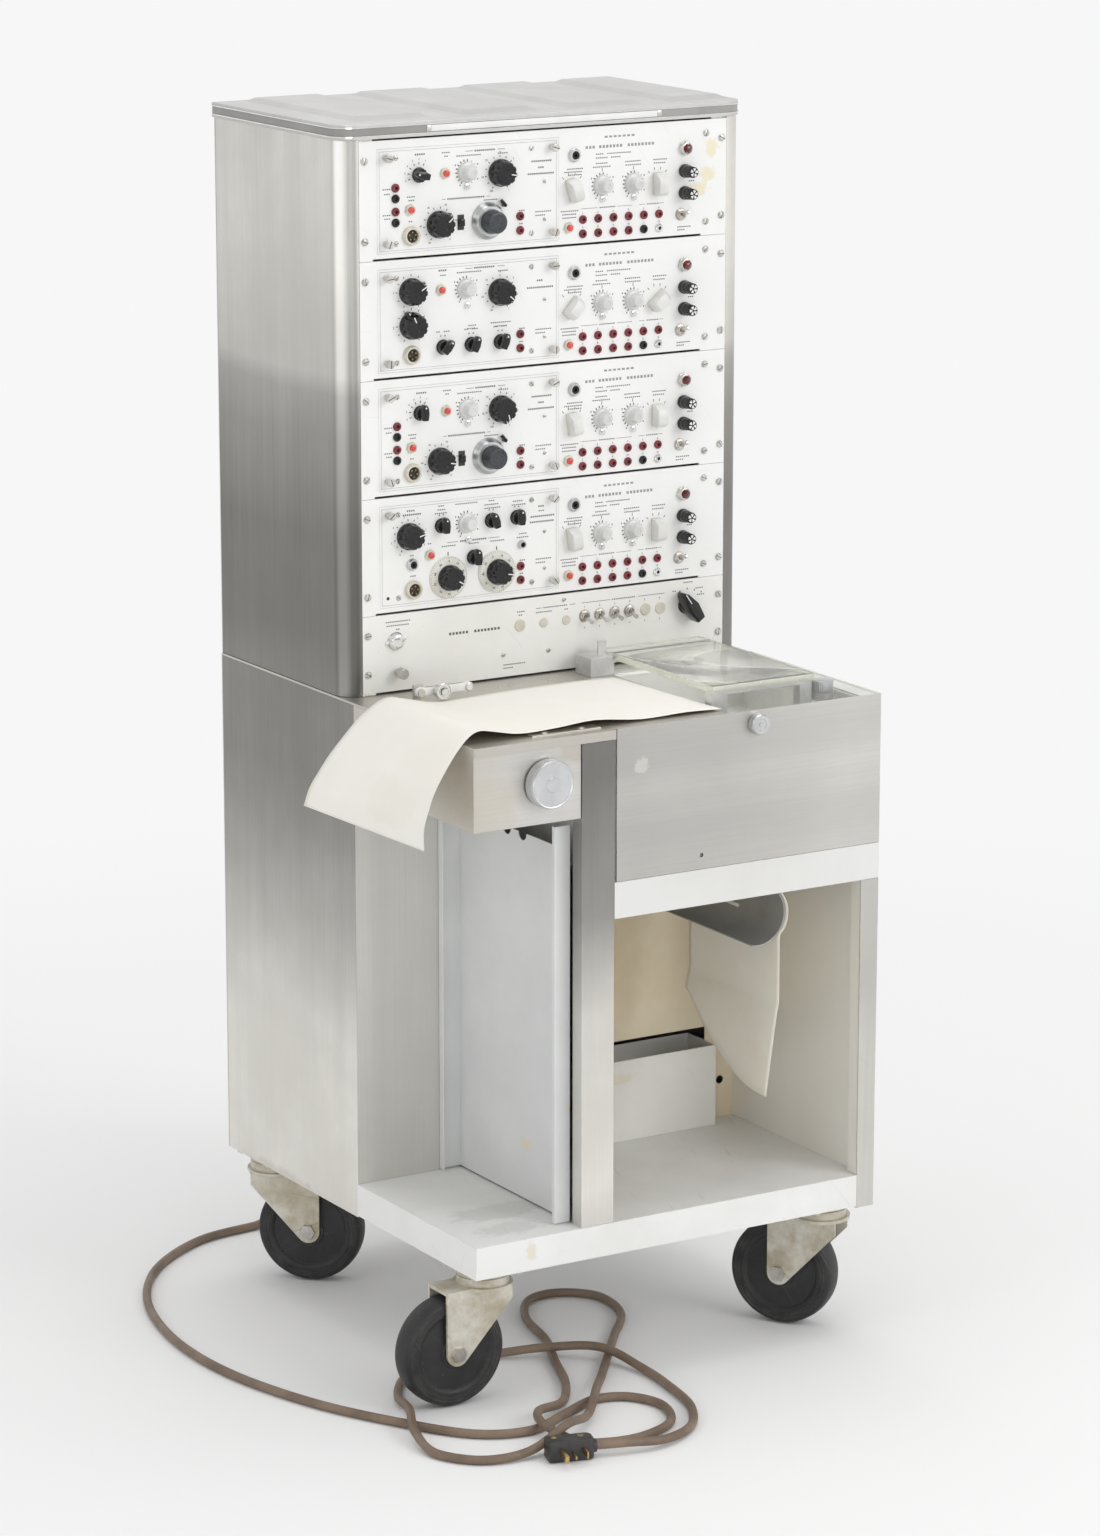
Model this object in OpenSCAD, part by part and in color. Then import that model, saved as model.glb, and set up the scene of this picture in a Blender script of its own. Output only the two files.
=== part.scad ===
// Four channel physiological chart recorder in a castored console.
// X points right, Y points to the back and Z points up, in millimetres.
// The origin is on the floor, under the middle of the base.

/* [Cabinet] */
// How far each side of the lower cabinet stands out past the upper cabinet
side_step = 1; // [0.5:0.5:4]
// Depth of the base, from the tray front to the back panel
cab_d = 585; // [560:1:700]
// Depth of the upright body behind the open front bays
body_d = 317; // [300:1:340]
// Thickness of the cabinet's sheet metal
sheet = 2; // [1.2:0.1:2.5]
// Height of the deck's top above the floor
deck_h = 760; // [720:1:820]
// Thickness of the deck plate
deck_t = 2.5; // [2:0.1:4]
// Depth of the deck's front flange
deck_lip = 8; // [6:0.5:14]
// Height of the base tray's skirt
tray_h = 37.5; // [30:0.5:60]
// How far the side panels hang below the tray
side_drop = 2; // [0:0.5:6]
// Width of the turned-in flange round the tray's underside
base_flange = 100; // [96:1:120]

/* [Front bays] */
// Distance from the left side to the middle post
left_bay_w = 136.5; // [120:0.5:160]
// Width of the middle post
post_w = 42; // [30:1:60]
// Depth of the middle post's left lip
post_lip = 20; // [10:1:40]
// Width of the right front post
right_post_w = 24; // [18:1:40]
// Thickness of the gap between the right side and its liner
liner_gap = 16.5; // [12:0.5:24]
// Height of the shelf's front rail
rail_h = 41.5; // [30:0.5:60]
// Height of the drive box below the deck
drive_box_h = 92; // [80:1:110]
// Sheet thickness of boxes and guides
thin = 1.5; // [1:0.1:2]
// Height of the writer cover
cover_h = 173; // [150:1:190]
// How far the writer cover stands above the deck
cover_rise = 1; // [0:0.5:4]

/* [Rack] */
// Width of a rack panel
panel_w = 482.6; // [470:0.1:490]
// Height of one rack unit
rack_u = 44.45; // [40:0.05:48]
// Thickness of a rack panel
panel_t = 3.2; // [2.5:0.1:4]
// How far the rack panels stand behind the body's front
setback = 22; // [15:1:40]
// Clear gap between neighbouring panels
panel_gap = 0.4; // [0.2:0.1:1]
// Height of the dark slot between module panels
slot_h = 2.4; // [1:0.1:4]
// Gap between each end of a panel and the cabinet's jamb
panel_end_gap = 0.2; // [0.1:0.1:1]
// Radius of the upper cabinet's front corners
corner_r = 24; // [20:0.5:24.2]
// Height of the lid's edge band
lid_h = 17; // [12:0.5:24]
// How far the lid overhangs the upper cabinet
lid_over = 2; // [1:0.5:4]
// Height of the ribs pressed into the lid
rib_h = 4.5; // [3:0.5:8]
// Depth of an amplifier chassis behind its panel
chassis_d = 235; // [180:1:260]

/* [Preamplifiers] */
// Width of a preamplifier panel
pre_w = 234.4; // [230:0.1:236]
// Height of a preamplifier panel
pre_h = 115.6; // [110:0.1:118]
// Distance from the left end of the rack panels to a preamplifier panel
pre_in = 22.9; // [20:0.1:26]

/* [Controls] */
// Radius of a large fluted knob
knob_r = 15.4; // [13:0.1:17]
// Height of a large fluted knob
knob_h = 16; // [12:0.5:22]
// Radius of a small pointer knob
pointer_r = 8.6; // [7:0.1:10]
// Radius of a clear or white round knob's skirt
skirt_r = 11.5; // [9:0.1:12.5]
// Radius of the numbered dials
dial_r = 24.5; // [20:0.5:26]
// Radius of the ten-turn dial
ten_r = 21; // [18:0.5:22]
// Radius of a control shaft
shaft_r = 3; // [2:0.1:4]
// Radial clearance of a shaft or button in its hole
fit = 0.08; // [0.03:0.01:0.1]
// Gap between a turning knob and its panel
knob_gap = 0.5; // [0.3:0.1:1]
// Radius of a push button
button_r = 3.7; // [3:0.1:4.2]
// Length of a toggle switch's lever
toggle_l = 18; // [12:0.5:24]
// Lean of a toggle lever from level
toggle_lean = 16; // [8:1:20]
// Radius of a pin jack's collar
jack_r = 4.9; // [4:0.1:5.4]

/* [Paper drive] */
// Radius of the paper drive knob
drive_knob_r = 27; // [20:0.5:32]
// Height of the paper drive knob
drive_knob_h = 15; // [10:0.5:24]
// Radius of the paper drive shaft
drive_shaft_r = 5; // [4:0.1:7]
// Radius of the rubber drive roller
roller_r = 20; // [14:0.5:24]
// Radius of the pressure wheel
press_r = 9.5; // [7:0.1:11]
// Length of the pressure arm
press_l = 62; // [52:1:80]
// Radius of the writer cover's thumb nut
thumb_r = 12; // [9:0.1:15]

/* [Writing plate] */
// Width of the clear plate
plate_w = 137; // [110:1:150]
// Distance of the clear plate's front edge from the cabinet's front
plate_front = 39; // [30:1:60]
// How far the clear plate runs back past the upright body's front
plate_over = 12; // [4:1:16]
// Thickness of the clear plate
plate_t = 8; // [6:0.5:10]
// Height of the clear plate's top above the deck
plate_top = 24; // [22:0.5:34]

/* [Paper guide] */
// Outer radius of the trough
guide_r = 36; // [32:1:44]
// Distance of the trough's front end from the cabinet's front
guide_front = 23; // [20:1:40]
// Distance of the trough's axis below the shelf
guide_drop = 69.5; // [62:0.5:90]

/* [Castors] */
// Diameter of a castor wheel
wheel_d = 127; // [120:1:130]
// Width of a castor wheel
wheel_w = 32; // [24:1:36]
// Gap between a castor's wheel and the crown of its fork
crown_gap = 6; // [4:0.5:20]
// Height of a castor's head, from its fork's crown to the cabinet
castor_head = 24; // [22:0.5:32]
// Distance from the swivel axis to the axle, seen from above
trail = 44; // [38:1:50]
// Distance of a swivel axis from the cabinet's side
castor_in_x = 38.5; // [38.5:0.5:56]
// Distance of the front swivel axes from the cabinet's front
castor_front = 51.5; // [46.5:0.5:60]
// Distance of the back swivel axes from the cabinet's back
castor_back = 46.5; // [46.5:0.5:60]
// Radius of a castor axle
axle_r = 6; // [4:0.5:8]

/* [Paper and mains cord] */
// Width of the chart paper
paper_w = 203; // [150:1:215]
// Thickness of the paper's solid
paper_t = 0.8; // [0.5:0.1:1.2]
// Diameter of the mains cord
cord_d = 10; // [8:0.5:10]
// Length of the cord's tapered strain relief
gland_l = 36; // [24:1:60]

/* [Hidden] */
$fn = 48;

// Small clearance that keeps parts of one body from overlapping
seam = 0.2;
rack_x = panel_w / 2;
x_u = rack_x + panel_end_gap + corner_r;
x_r = x_u + side_step;
y_f = -cab_d / 2;
y_b = cab_d / 2;
y_m = y_b - body_d;
y_p = y_m + setback;
crown_z = wheel_d + crown_gap;
castor_h = crown_z + castor_head;
tray_z = castor_h;
tray_top = tray_z + tray_h;
side_z = tray_z - side_drop;
deck_z = deck_h - deck_t;
post_x = -x_r + left_bay_w;
post_x2 = post_x + post_w;
bay_x2 = x_r - liner_gap;
cover_top = deck_h + cover_rise;
cover_z = cover_top - cover_h;
rail_top = cover_z - 0.5;
rail_z = rail_top - rail_h;
shelf_z = rail_top - sheet;
box_z = deck_z - drive_box_h;
bulk_y = y_m + 6;
bin_x2 = bay_x2 - 40;
bin_top = tray_top + 99;
rack_gap = 2;
rack_z = deck_h + rack_gap;
writer_h = 2 * rack_u;
module_h = 3 * rack_u;
module_n = 4;
rack_h = writer_h + module_n * module_h;
shell_top = rack_z + rack_h + rack_gap;
jamb_x = x_u - corner_r;
rail_face_w = 19;
chassis_floor = 1.5;
// Centre and width of each rib of the lid
lid_ribs = [[-182, 97], [-43, 97], [96, 97], [221, 80]];

// Bottom of a module counted from the top of the rack, starting at 0
function module_z(i) = rack_z + writer_h + (module_n - 1 - i) * module_h;

// The window in a driver panel that holds a preamplifier
pre_z = (module_h - pre_h) / 2 - 1;
pre_x0 = -rack_x + pre_in;
pre_x1 = pre_x0 + pre_w;
pre_x = pre_x0 + pre_w / 2;

// Controls of the low level preamplifier as [x, height in the module]
input_at = [pre_x - 64.3, 92.5];
cal_at = [pre_x - 30.8, 92.4];
vernier_at = [pre_x - 2.8, 92];
sens_at = [pre_x + 40.6, 88.7];
balance_at = [pre_x - 39.2, 36];
slide_at = [pre_x - 10.6, 36.4];
ten_at = [pre_x + 24.2, 36];
lock_at = [pre_x + 44.7, 52.5];
mode_at = [pre_x - 75.8, 54.5];
connector_at = [pre_x - 74.8, 25.5];
side_jacks = [[pre_x - 94.3, 79.8], [pre_x - 94.3, 67.8], [pre_x - 94.3, 53.3],
    [pre_x - 94.3, 41.2]];
out_jacks = [[pre_x + 66.4, 38.4], [pre_x + 66.4, 22.4]];
// Controls of the second and fourth preamplifiers
eeg_knobs = [[pre_x - 74.8, 96.5], [pre_x - 74.6, 58.5], [pre_x + 40.2, 88]];
eeg_pointers = [[pre_x - 34.3, 31.4], [pre_x + 2.3, 31.6], [pre_x + 40.2, 31.8]];
eeg_button = [pre_x - 36.8, 96];
tach_lead = [pre_x - 79.8, 87];
tach_pointers = [[pre_x - 37.5, 95.2], [pre_x + 27.9, 95], [pre_x + 61.5, 95.4],
    [pre_x + 4.2, 55]];
tach_button = [pre_x - 52.8, 63];
tach_jacks = [[pre_x - 75.8, 54.4], [pre_x + 67.7, 63.4]];
tach_dials = [[pre_x - 29, 35], [pre_x + 34.8, 35.3]];
// Controls of a driver amplifier
phone_at = [rack_x - 204.9, 102.6];
polarity_at = [rack_x - 207.7, 63.4];
gain_at = [rack_x - 167.3, 66.4];
position_at = [rack_x - 125.6, 66.2];
filter_at = [rack_x - 93.3, 63.5];
lamp_at = [rack_x - 56.8, 102];
fuses_at = [[rack_x - 56.8, 76], [rack_x - 56.8, 50.8]];
power_at = [rack_x - 61.5, 26.5];
driver_cal_at = [rack_x - 212.3, 21];
jack_x0 = rack_x - 193.4;
jack_pitch = 20.4;
jack_rows = [29.1, 12.9];
jack_cols = 6;
// Controls of the writer panel, as heights above its lower edge
selector_at = [rack_x - 52.3, 58.5];
toggle_x0 = rack_x - 190.1;
toggle_pitch = 20.3;
toggle_row = 60;
chrome_cap_at = [-rack_x + 42.3, 57.6];
plugs_at = [[rack_x - 276.9, 58, 7], [rack_x - 245.2, 58, 5.5], [rack_x - 214.9, 57.8, 5.5],
    [rack_x - 107.3, 59, 7], [rack_x - 86.8, 58.4, 7]];
knurled_at = [-rack_x + 44.3, 22];
// Screws as [x, height]
ear_x = rack_x - 6.6;
ear_rows = [rack_u / 2, module_h - rack_u / 2];
inner_screws = [[rack_x - 27.8, 16.3], [rack_x - 27.8, 117.6]];
captive_x = [pre_x0 + 10.1, pre_x1 - 9.6];
captive_rows = [18.4, 113.6];
pre_screws = [[pre_x - 93.6, 113], [pre_x - 93.6, 17.8], [pre_x + 81.4, 113.6],
    [pre_x + 81.4, 18.2], [pre_x + 98.4, 75.4], [pre_x + 98.4, 32.8]];
writer_screws = [[rack_x - 299, 25.8], [rack_x - 238.9, 24.9], [rack_x - 218.1, 82]];

// Swivel angle of each castor at rest, as [x side, y side, angle]
fl = [-1, -1, 180];
fr = [1, -1, 124];
bl = [-1, 1, -43];
br = [1, 1, 70];
wheel_r = wheel_d / 2;
dish_r = wheel_r - 16.5;
fork_t = 3.5;
fork_gap = 2;
crown_t = 4;
plate_z = castor_h - 3;
collar_r = 30;
castor_plate = [72, 84];
kingpin_r = 6;

// The middle of the drive knob and its shaft
drive_x = -176;
drive_z = deck_h - 48;
// Pivot of the pressure arm and place of its wheel
press_x = -200;
press_y = y_m - 32;
press_z = deck_h + press_r + 1.7;
press_reach = 25;
// The left bay's bent sheet: its face beside the post, its front and its top
chute_x = post_x - 0.2;
chute_y = y_f + 24.5;
chute_top = box_z - 41.5;
pin_r = 2.5;
// The thumb nut on the writer cover
thumb_x = x_r - 168.5;
thumb_z = deck_h - 14;
// The clear plate's left front corner
plate_x = x_r - 64.5 - plate_w;
plate_y = y_f + plate_front;
plate_d = y_m + plate_over - plate_y;
plate_z0 = deck_h + plate_top - plate_t;
// The paper trough's axis
guide_x = x_r - 148.1;
guide_z = shelf_z - guide_drop;
guide_y = y_f + guide_front;
guide_l = y_m - 5 - guide_y;

// The deck paper's front and back edges as [x, height above the deck]
front_edge = [[66, 1], [20, 3], [-40, 2], [-100, 8], [-150, 5], [-195, 4], [-228, 10],
    [-246, 13], [-260, 8], [-276, -8], [-292, -30], [-304, -50], [-311, -68],
    [-317, -88], [-317, -112]];
back_edge = [[52, 1], [10, 2], [-42, 2], [-95, 1.2], [-145, 0], [-190, 0.2], [-225, 8],
    [-244, 12], [-260, 8], [-282, -6], [-304, -27], [-322, -46], [-336, -64],
    [-347, -80], [-354, -99]];
// The paper's back edge lies under the pressure wheel
paper_y = y_m - 43 - paper_w;
// The hanging paper's path down from the shelf as [x, height]
hang_w = 188;
hang_r = guide_r + 1.8;
hang_over = [for (a = [75:-15:-45]) [hang_r * cos(a), hang_r * sin(a)]];
hang_drop = [[26.5, -45], [26.4, -75], [26.3, -104], [24, -116]];
hang_path = concat(hang_over, hang_drop);
// How far the torn lower edge hangs below the last path point, front to back
torn = [98, 93, 77, 50, 15];
// Share of that fall by which the edge leans to the left
torn_lean = 0.14;

// The mains cord's route: down the back, round the left side and in loose loops to the plug
cord_r = cord_d / 2;
gland_at = [-60, y_b, 215];
route = [[-60, 328.5, 215], [-60, 366, 208], [-64, 412, 160], [-82, 421, 90], [-112, 415, 26],
    [-170, 410, 5], [-258, 394, 5], [-350, 326, 5], [-414, 222, 5], [-446, 90, 5], [-444, -40, 5],
    [-410, -170, 5], [-358, -275, 5], [-304, -351, 5], [-245, -374, 5], [-191, -352, 5],
    [-137, -328, 5], [-97, -340, 5], [-79, -383, 5], [-102, -433, 5], [-159, -454, 5],
    [-214, -438, 5], [-238, -396, 15], [-222, -351, 15], [-172, -319, 6], [-135, -267, 5],
    [-108, -200, 5], [-79, -131, 5], [-61, -57, 5], [-26, -4, 5], [18, 2, 5], [53, -34, 5],
    [44, -98, 5], [-4, -160, 5], [-46, -214, 5], [-88, -268, 6], [-128, -322, 16],
    [-174, -377, 10], [-224, -417, 22], [-284, -435, 8], [-338, -424, 5], [-370, -380, 5],
    [-364, -325, 11], [-342, -274, 16], [-320, -210, 7], [-280, -156, 5], [-220, -130, 5],
    [-160, -144, 6], [-108, -180, 16], [-56, -214, 17], [-36, -270, 6], [-40, -336, 5],
    [-54, -402, 5], [-88, -454, 5], [-138, -480, 8], [-182, -477, 12], [-221, -464, 12]];
cord_sides = 8;
plug_at = [-246, -456.7];
plug_turn = -16;
plug_size = [52, 24, 24];

module box(a, b) {
    translate(a) cube([b[0] - a[0], b[1] - a[1], b[2] - a[2]]);
}

// Puts children on the panel face, with their Z pointing out at the front
module on_panel(at, z, turn = 0) {
    translate([at[0], y_p, z + at[1]]) rotate([90, 0, 0]) rotate([0, 0, turn]) children();
}

// A hole through a panel at a control
module panel_hole(at, z, r) {
    on_panel(at, z) translate([0, 0, -panel_t - 1]) cylinder(r = r, h = panel_t + 2);
}

// The upper cabinet's outline, with rounded front corners
module cabinet_plan(grow, back) {
    r = corner_r + grow;
    x = x_u + grow;
    y0 = y_p - grow;
    translate([-x, y0 + r]) square([2 * x, back - y0 - r]);
    translate([-x + r, y0]) square([2 * (x - r), r + 1]);
    for (s = [-1, 1]) translate([s * (x - r), y0 + r]) circle(r);
}

// A row of upright slots cut through a back panel
module vent_row(n, pitch, h, z) {
    for (i = [0:n - 1]) {
        x = (i - (n - 1) / 2) * pitch;
        box([x - 2, y_b - sheet - 1, z], [x + 2, y_b + 1, z + h]);
    }
}

module side_panels() color("silver") {
    box([-x_r, y_m, side_z], [-x_r + sheet, y_b - sheet, deck_z]);
    box([-x_r + sheet, y_m, tray_top], [post_x - 1, y_m + sheet, deck_z]);
    box([x_r - sheet, y_f + sheet, side_z], [x_r, y_b - sheet, deck_z]);
    box([x_r - sheet, y_f + sheet, deck_z], [x_r, y_m, cover_top]);
    box([x_r - right_post_w, y_f, side_z], [x_r, y_f + sheet, rail_z - seam]);
    box([x_r - right_post_w, y_f + sheet, tray_top],
        [x_r - right_post_w + sheet, y_f + post_lip, rail_z - seam]);
    box([x_r - right_post_w, y_f + post_lip - sheet, tray_top],
        [bay_x2 + thin, y_f + post_lip, rail_z - seam]);
    box([bay_x2, y_f + post_lip - 1, tray_top], [bay_x2 + thin, bulk_y + thin, shelf_z]);
}

module back_panels() color("silver") {
    difference() {
        box([-x_r, y_b - sheet, side_z], [x_r, y_b, deck_z]);
        vent_row(16, 14, 60, deck_z - 110);
        translate([gland_at[0], y_b + 1, gland_at[2]]) rotate([90, 0, 0])
            cylinder(r = cord_r + 2, h = sheet + 2);
    }
    difference() {
        box([-x_u, y_b - sheet, deck_h], [x_u, y_b, shell_top]);
        for (i = [0:2]) vent_row(24, 16, 70, deck_h + 90 + i * 180);
    }
}

module base_tray() color("gainsboro") difference() {
    union() {
        box([-x_r, y_f, tray_z], [x_r - right_post_w - seam, y_m - seam, tray_top]);
        box([-x_r + sheet + seam, y_m - seam - 1, tray_z],
            [x_r - right_post_w - seam, y_b - sheet - seam, tray_top]);
        box([x_r - right_post_w - seam - 1, y_f + post_lip + seam, tray_z],
            [x_r - sheet - seam, y_b - sheet - seam, tray_top]);
        box([x_r - right_post_w - seam - 1, y_f + sheet + seam, tray_z],
            [x_r - sheet - seam, y_f + post_lip + 2, tray_top - seam]);
    }
    box([-x_r + sheet, y_f + sheet, tray_z + sheet],
        [x_r - 2 * sheet - seam, y_b - 2 * sheet - seam, tray_top - sheet]);
    box([-x_r + base_flange, y_f + base_flange, tray_z - 1],
        [x_r - base_flange, y_b - base_flange, tray_z + sheet + 1]);
}

module bulkhead() color("tan") difference() {
    box([post_x2 + seam, bulk_y, tray_top], [bay_x2, bulk_y + thin, shelf_z]);
    box([post_x2, bulk_y - 1, tray_top - 1], [bin_x2 + seam, bulk_y + 3, bin_top + 16]);
    translate([bay_x2 - 18, bulk_y - 1, tray_top + 46]) rotate([-90, 0, 0]) cylinder(r = 5, h = 4);
}

module storage_bin() color("gainsboro") difference() {
    box([post_x2 + seam, y_m - 19.5, tray_top], [bin_x2, y_m + 42, bin_top]);
    box([post_x2 - 1, y_m - 19.5 + thin, tray_top + thin],
        [bin_x2 - thin, y_m + 42 - thin, bin_top + 1]);
}

module middle_post() color("silver") {
    box([post_x, y_f, tray_top], [post_x2, y_f + sheet, deck_z - deck_lip]);
    box([post_x, y_f + sheet, tray_top], [post_x + sheet, y_f + post_lip, deck_z - deck_lip]);
    box([post_x2 - sheet, y_f + sheet, tray_top], [post_x2, y_m - seam, rail_top]);
}

module deck_plate() color("silver") difference() {
    union() {
        box([-x_r, y_f, deck_z], [post_x2 + 2, y_m + 1, deck_h]);
        box([post_x2, y_f + 4, deck_z], [plate_x - 4, y_m + 1, deck_h]);
        box([-x_r, y_m, deck_z], [x_r, y_b, deck_h]);
        box([-x_r, y_f, deck_z - deck_lip], [post_x2 + 2, y_f + thin, deck_z + 1]);
        box([post_x - 54, y_f + 16, deck_h - 1], [post_x + 34, y_f + 33, deck_h + thin]);
        for (x = [post_x - 34, post_x + 13]) translate([x, y_f + 24, deck_h + 1])
            cylinder(r1 = 5, r2 = 3.5, h = 1.8);
        for (x = [post_x2 + 6, post_x2 + 20, post_x2 + 72]) translate([x, y_m - 12, deck_h - 0.5])
            cylinder(r1 = 4, r2 = 3, h = 1.6);
        box([press_x - 6, press_y + 0.3, deck_h - 1], [press_x + 6, press_y + 4.3, press_z + 8]);
        translate([press_x, press_y + 1, press_z]) rotate([90, 0, 0]) {
            cylinder(r = pin_r, h = 8);
            translate([0, 0, 6.3]) cylinder(r = pin_r + 2, h = 2);
        }
    }
}

module chute_panel() color("lightsteelblue") difference() {
    union() {
        box([chute_x - thin, chute_y, tray_top + 2], [chute_x, y_m - 0.5, chute_top]);
        box([post_x - 28, y_m - 0.5 - thin, tray_top + 2], [chute_x, y_m - 0.5, box_z - 2]);
        box([post_x - 28, y_m - 10, tray_top + 2], [post_x - 28 + thin, y_m - 0.6, box_z - 2]);
        box([chute_x - 20, chute_y, tray_top + 2], [chute_x, chute_y + thin, box_z - 12]);
        box([chute_x - 20, chute_y, tray_top + 2], [chute_x - 20 + thin, chute_y + 6, box_z - 12]);
    }
    for (y = [y_m - 109, y_m - 143]) translate([chute_x - 2, y, chute_top])
        rotate([0, 90, 0]) cylinder(r = 9, h = 3);
}

module drive_box() color("silver") difference() {
    box([-x_r, y_f + thin + seam, box_z], [post_x - seam, y_m - seam, deck_z]);
    box([-x_r + thin, y_f + 2 * thin + seam, box_z + thin],
        [post_x - seam - thin, y_m - seam - thin, deck_z + 1]);
    translate([drive_x, y_f - 1, drive_z]) rotate([-90, 0, 0])
        cylinder(r = drive_shaft_r + fit, h = 20);
    translate([drive_x, y_m - 20, drive_z]) rotate([-90, 0, 0])
        cylinder(r = drive_shaft_r + fit, h = 30);
}

module writer_well() color("silver") difference() {
    union() {
        box([post_x2 + seam, y_f + sheet + 1.5, rail_top],
            [x_r - sheet - seam, y_m - seam, deck_z - seam]);
        box([plate_x, y_m - 22, deck_z - 12], [x_r - sheet - seam, y_m - seam, deck_h - 0.5]);
        box([x_r - 24, y_f + sheet + 1.5, deck_z - 12], [x_r - sheet - seam, y_m - seam, deck_h - 0.5]);
    }
    box([post_x2 + seam + thin, y_f + sheet + 1.5 + thin, deck_h - 58],
        [x_r - 24 - thin, y_m - 22 - thin, deck_h + 1]);
    box([post_x2 + seam + thin, y_f + sheet + 1.5 + thin, rail_top + thin],
        [x_r - sheet - seam - thin, y_m - seam - thin, deck_h - 58 - thin]);
    translate([thumb_x, y_f, thumb_z]) rotate([-90, 0, 0]) cylinder(r = drive_shaft_r + fit, h = 8);
}

module writer_cover() color("silver") difference() {
    box([post_x2 + 3, y_f, cover_z], [x_r, y_f + thin, cover_top]);
    translate([thumb_x, y_f - 1, thumb_z]) rotate([-90, 0, 0])
        cylinder(r = drive_shaft_r + fit, h = 4);
    translate([x_r - 240.5, y_f - 1, cover_z + 16]) rotate([-90, 0, 0]) cylinder(r = 2.6, h = 4);
}

module storage_shelf() color("white") {
    box([post_x2 + seam, y_f, rail_z], [x_r, y_f + sheet, rail_top]);
    box([post_x2 + seam, y_f + sheet, shelf_z], [x_r - sheet - seam, y_m - seam, rail_top - seam]);
    box([post_x2 + seam, y_f + sheet, rail_z], [x_r - right_post_w, y_f + 18, rail_z + thin]);
}

module paper_guide() color("dimgray") translate([guide_x, guide_y, guide_z]) {
    up = shelf_z - guide_z;
    rotate([-90, 0, 0]) linear_extrude(guide_l) {
        difference() {
            circle(guide_r);
            circle(guide_r - thin);
            translate([-guide_r - 1, -guide_r - 1]) square([guide_r + 1, 2 * guide_r - 4]);
            translate([-guide_r - 1, -guide_r - 1]) square([guide_r - 7, 2 * guide_r + 2]);
        }
        translate([0, -up]) square([thin, up - guide_r + thin]);
        translate([0, -up]) square([14, thin]);
    }
}

module upper_shell() color("silver") translate([0, 0, deck_h]) linear_extrude(shell_top - deck_h)
    difference() {
        cabinet_plan(0, y_b - sheet);
        difference() {
            union() {
                cabinet_plan(-sheet, y_b);
                translate([-jamb_x, y_p - 1]) square([2 * jamb_x, sheet + 2]);
            }
            for (s = [-1, 1]) translate([s * (jamb_x + sheet / 2) - sheet / 2, y_p])
                square([sheet, 14]);
        }
    }

module lid() color("lightgray") {
    translate([0, 0, shell_top]) difference() {
        union() {
            linear_extrude(3.5) cabinet_plan(lid_over, y_b + lid_over);
            linear_extrude(lid_h - 1) cabinet_plan(lid_over - 0.8, y_b + lid_over - 0.8);
            translate([0, 0, lid_h - 4]) linear_extrude(4) cabinet_plan(lid_over, y_b + lid_over);
        }
        translate([0, 0, -1]) linear_extrude(lid_h - 1) cabinet_plan(-1.5, y_b - 2);
    }
    for (rib = lid_ribs) translate([rib[0], 0, shell_top + lid_h]) lid_rib(rib[1]);
}

// One raised rib of the lid, with sloping sides and ends
module lid_rib(w) intersection() {
    translate([0, y_b - 10, 0]) rotate([90, 0, 0]) linear_extrude(y_b - y_p - 38)
        polygon([[-w / 2, 0], [w / 2, 0], [w / 2 - 8, rib_h], [-w / 2 + 8, rib_h]]);
    translate([-w, 0, 0]) rotate([90, 0, 90]) linear_extrude(2 * w)
        polygon([[y_p + 28, 0], [y_b - 10, 0], [y_b - 18, rib_h], [y_p + 40, rib_h]]);
}

module rack_rails() color("silver") for (s = [-1, 1]) {
    x = s * (jamb_x - rail_face_w / 2);
    difference() {
        union() {
            translate([x - rail_face_w / 2, y_p + panel_t, deck_h])
                cube([rail_face_w, sheet, shell_top - deck_h]);
            translate([s * (jamb_x - sheet / 2) - sheet / 2, y_p + panel_t, deck_h])
                cube([sheet, 30, shell_top - deck_h]);
        }
        for (i = [0:module_n - 1], z = ear_rows) translate([s * ear_x, y_p, module_z(i) + z])
            rotate([-90, 0, 0]) cylinder(r = 2.4, h = 20);
    }
}

// One rack panel with full height ears and a shorter middle
module rack_panel(z, h, cut) difference() {
    box([-rack_x, y_p, z + panel_gap / 2], [rack_x, y_p + panel_t, z + h - panel_gap / 2]);
    box([-rack_x + 17, y_p - 1, z - 1], [rack_x - 34, y_p + panel_t + 1, z + cut]);
}

// A chassis: an open box behind a panel
module chassis(x0, x1, z0, z1) difference() {
    box([x0, y_p + panel_t, z0], [x1, y_p + panel_t + chassis_d, z1]);
    box([x0 + chassis_floor, y_p + panel_t - 1, z0 + chassis_floor],
        [x1 - chassis_floor, y_p + panel_t + chassis_d - chassis_floor, z1 + 1]);
}

module driver_amplifiers() color("white") for (i = [0:module_n - 1]) {
    z = module_z(i);
    difference() {
        rack_panel(z, module_h, slot_h);
        box([pre_x0 - seam, y_p - 1, z + pre_z - seam],
            [pre_x1 + seam, y_p + panel_t + 1, z + pre_z + pre_h + seam]);
        if (i == 0) {
            for (c = [polarity_at, gain_at, position_at, filter_at])
                panel_hole(c, z, shaft_r + fit);
            panel_hole(power_at, z, bush_r + 0.01);
            panel_hole(driver_cal_at, z, button_r + fit);
        }
    }
    chassis(pre_x1 + 4, rack_x - rail_face_w - 4, z + 8, z + module_h - 10);
}

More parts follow.
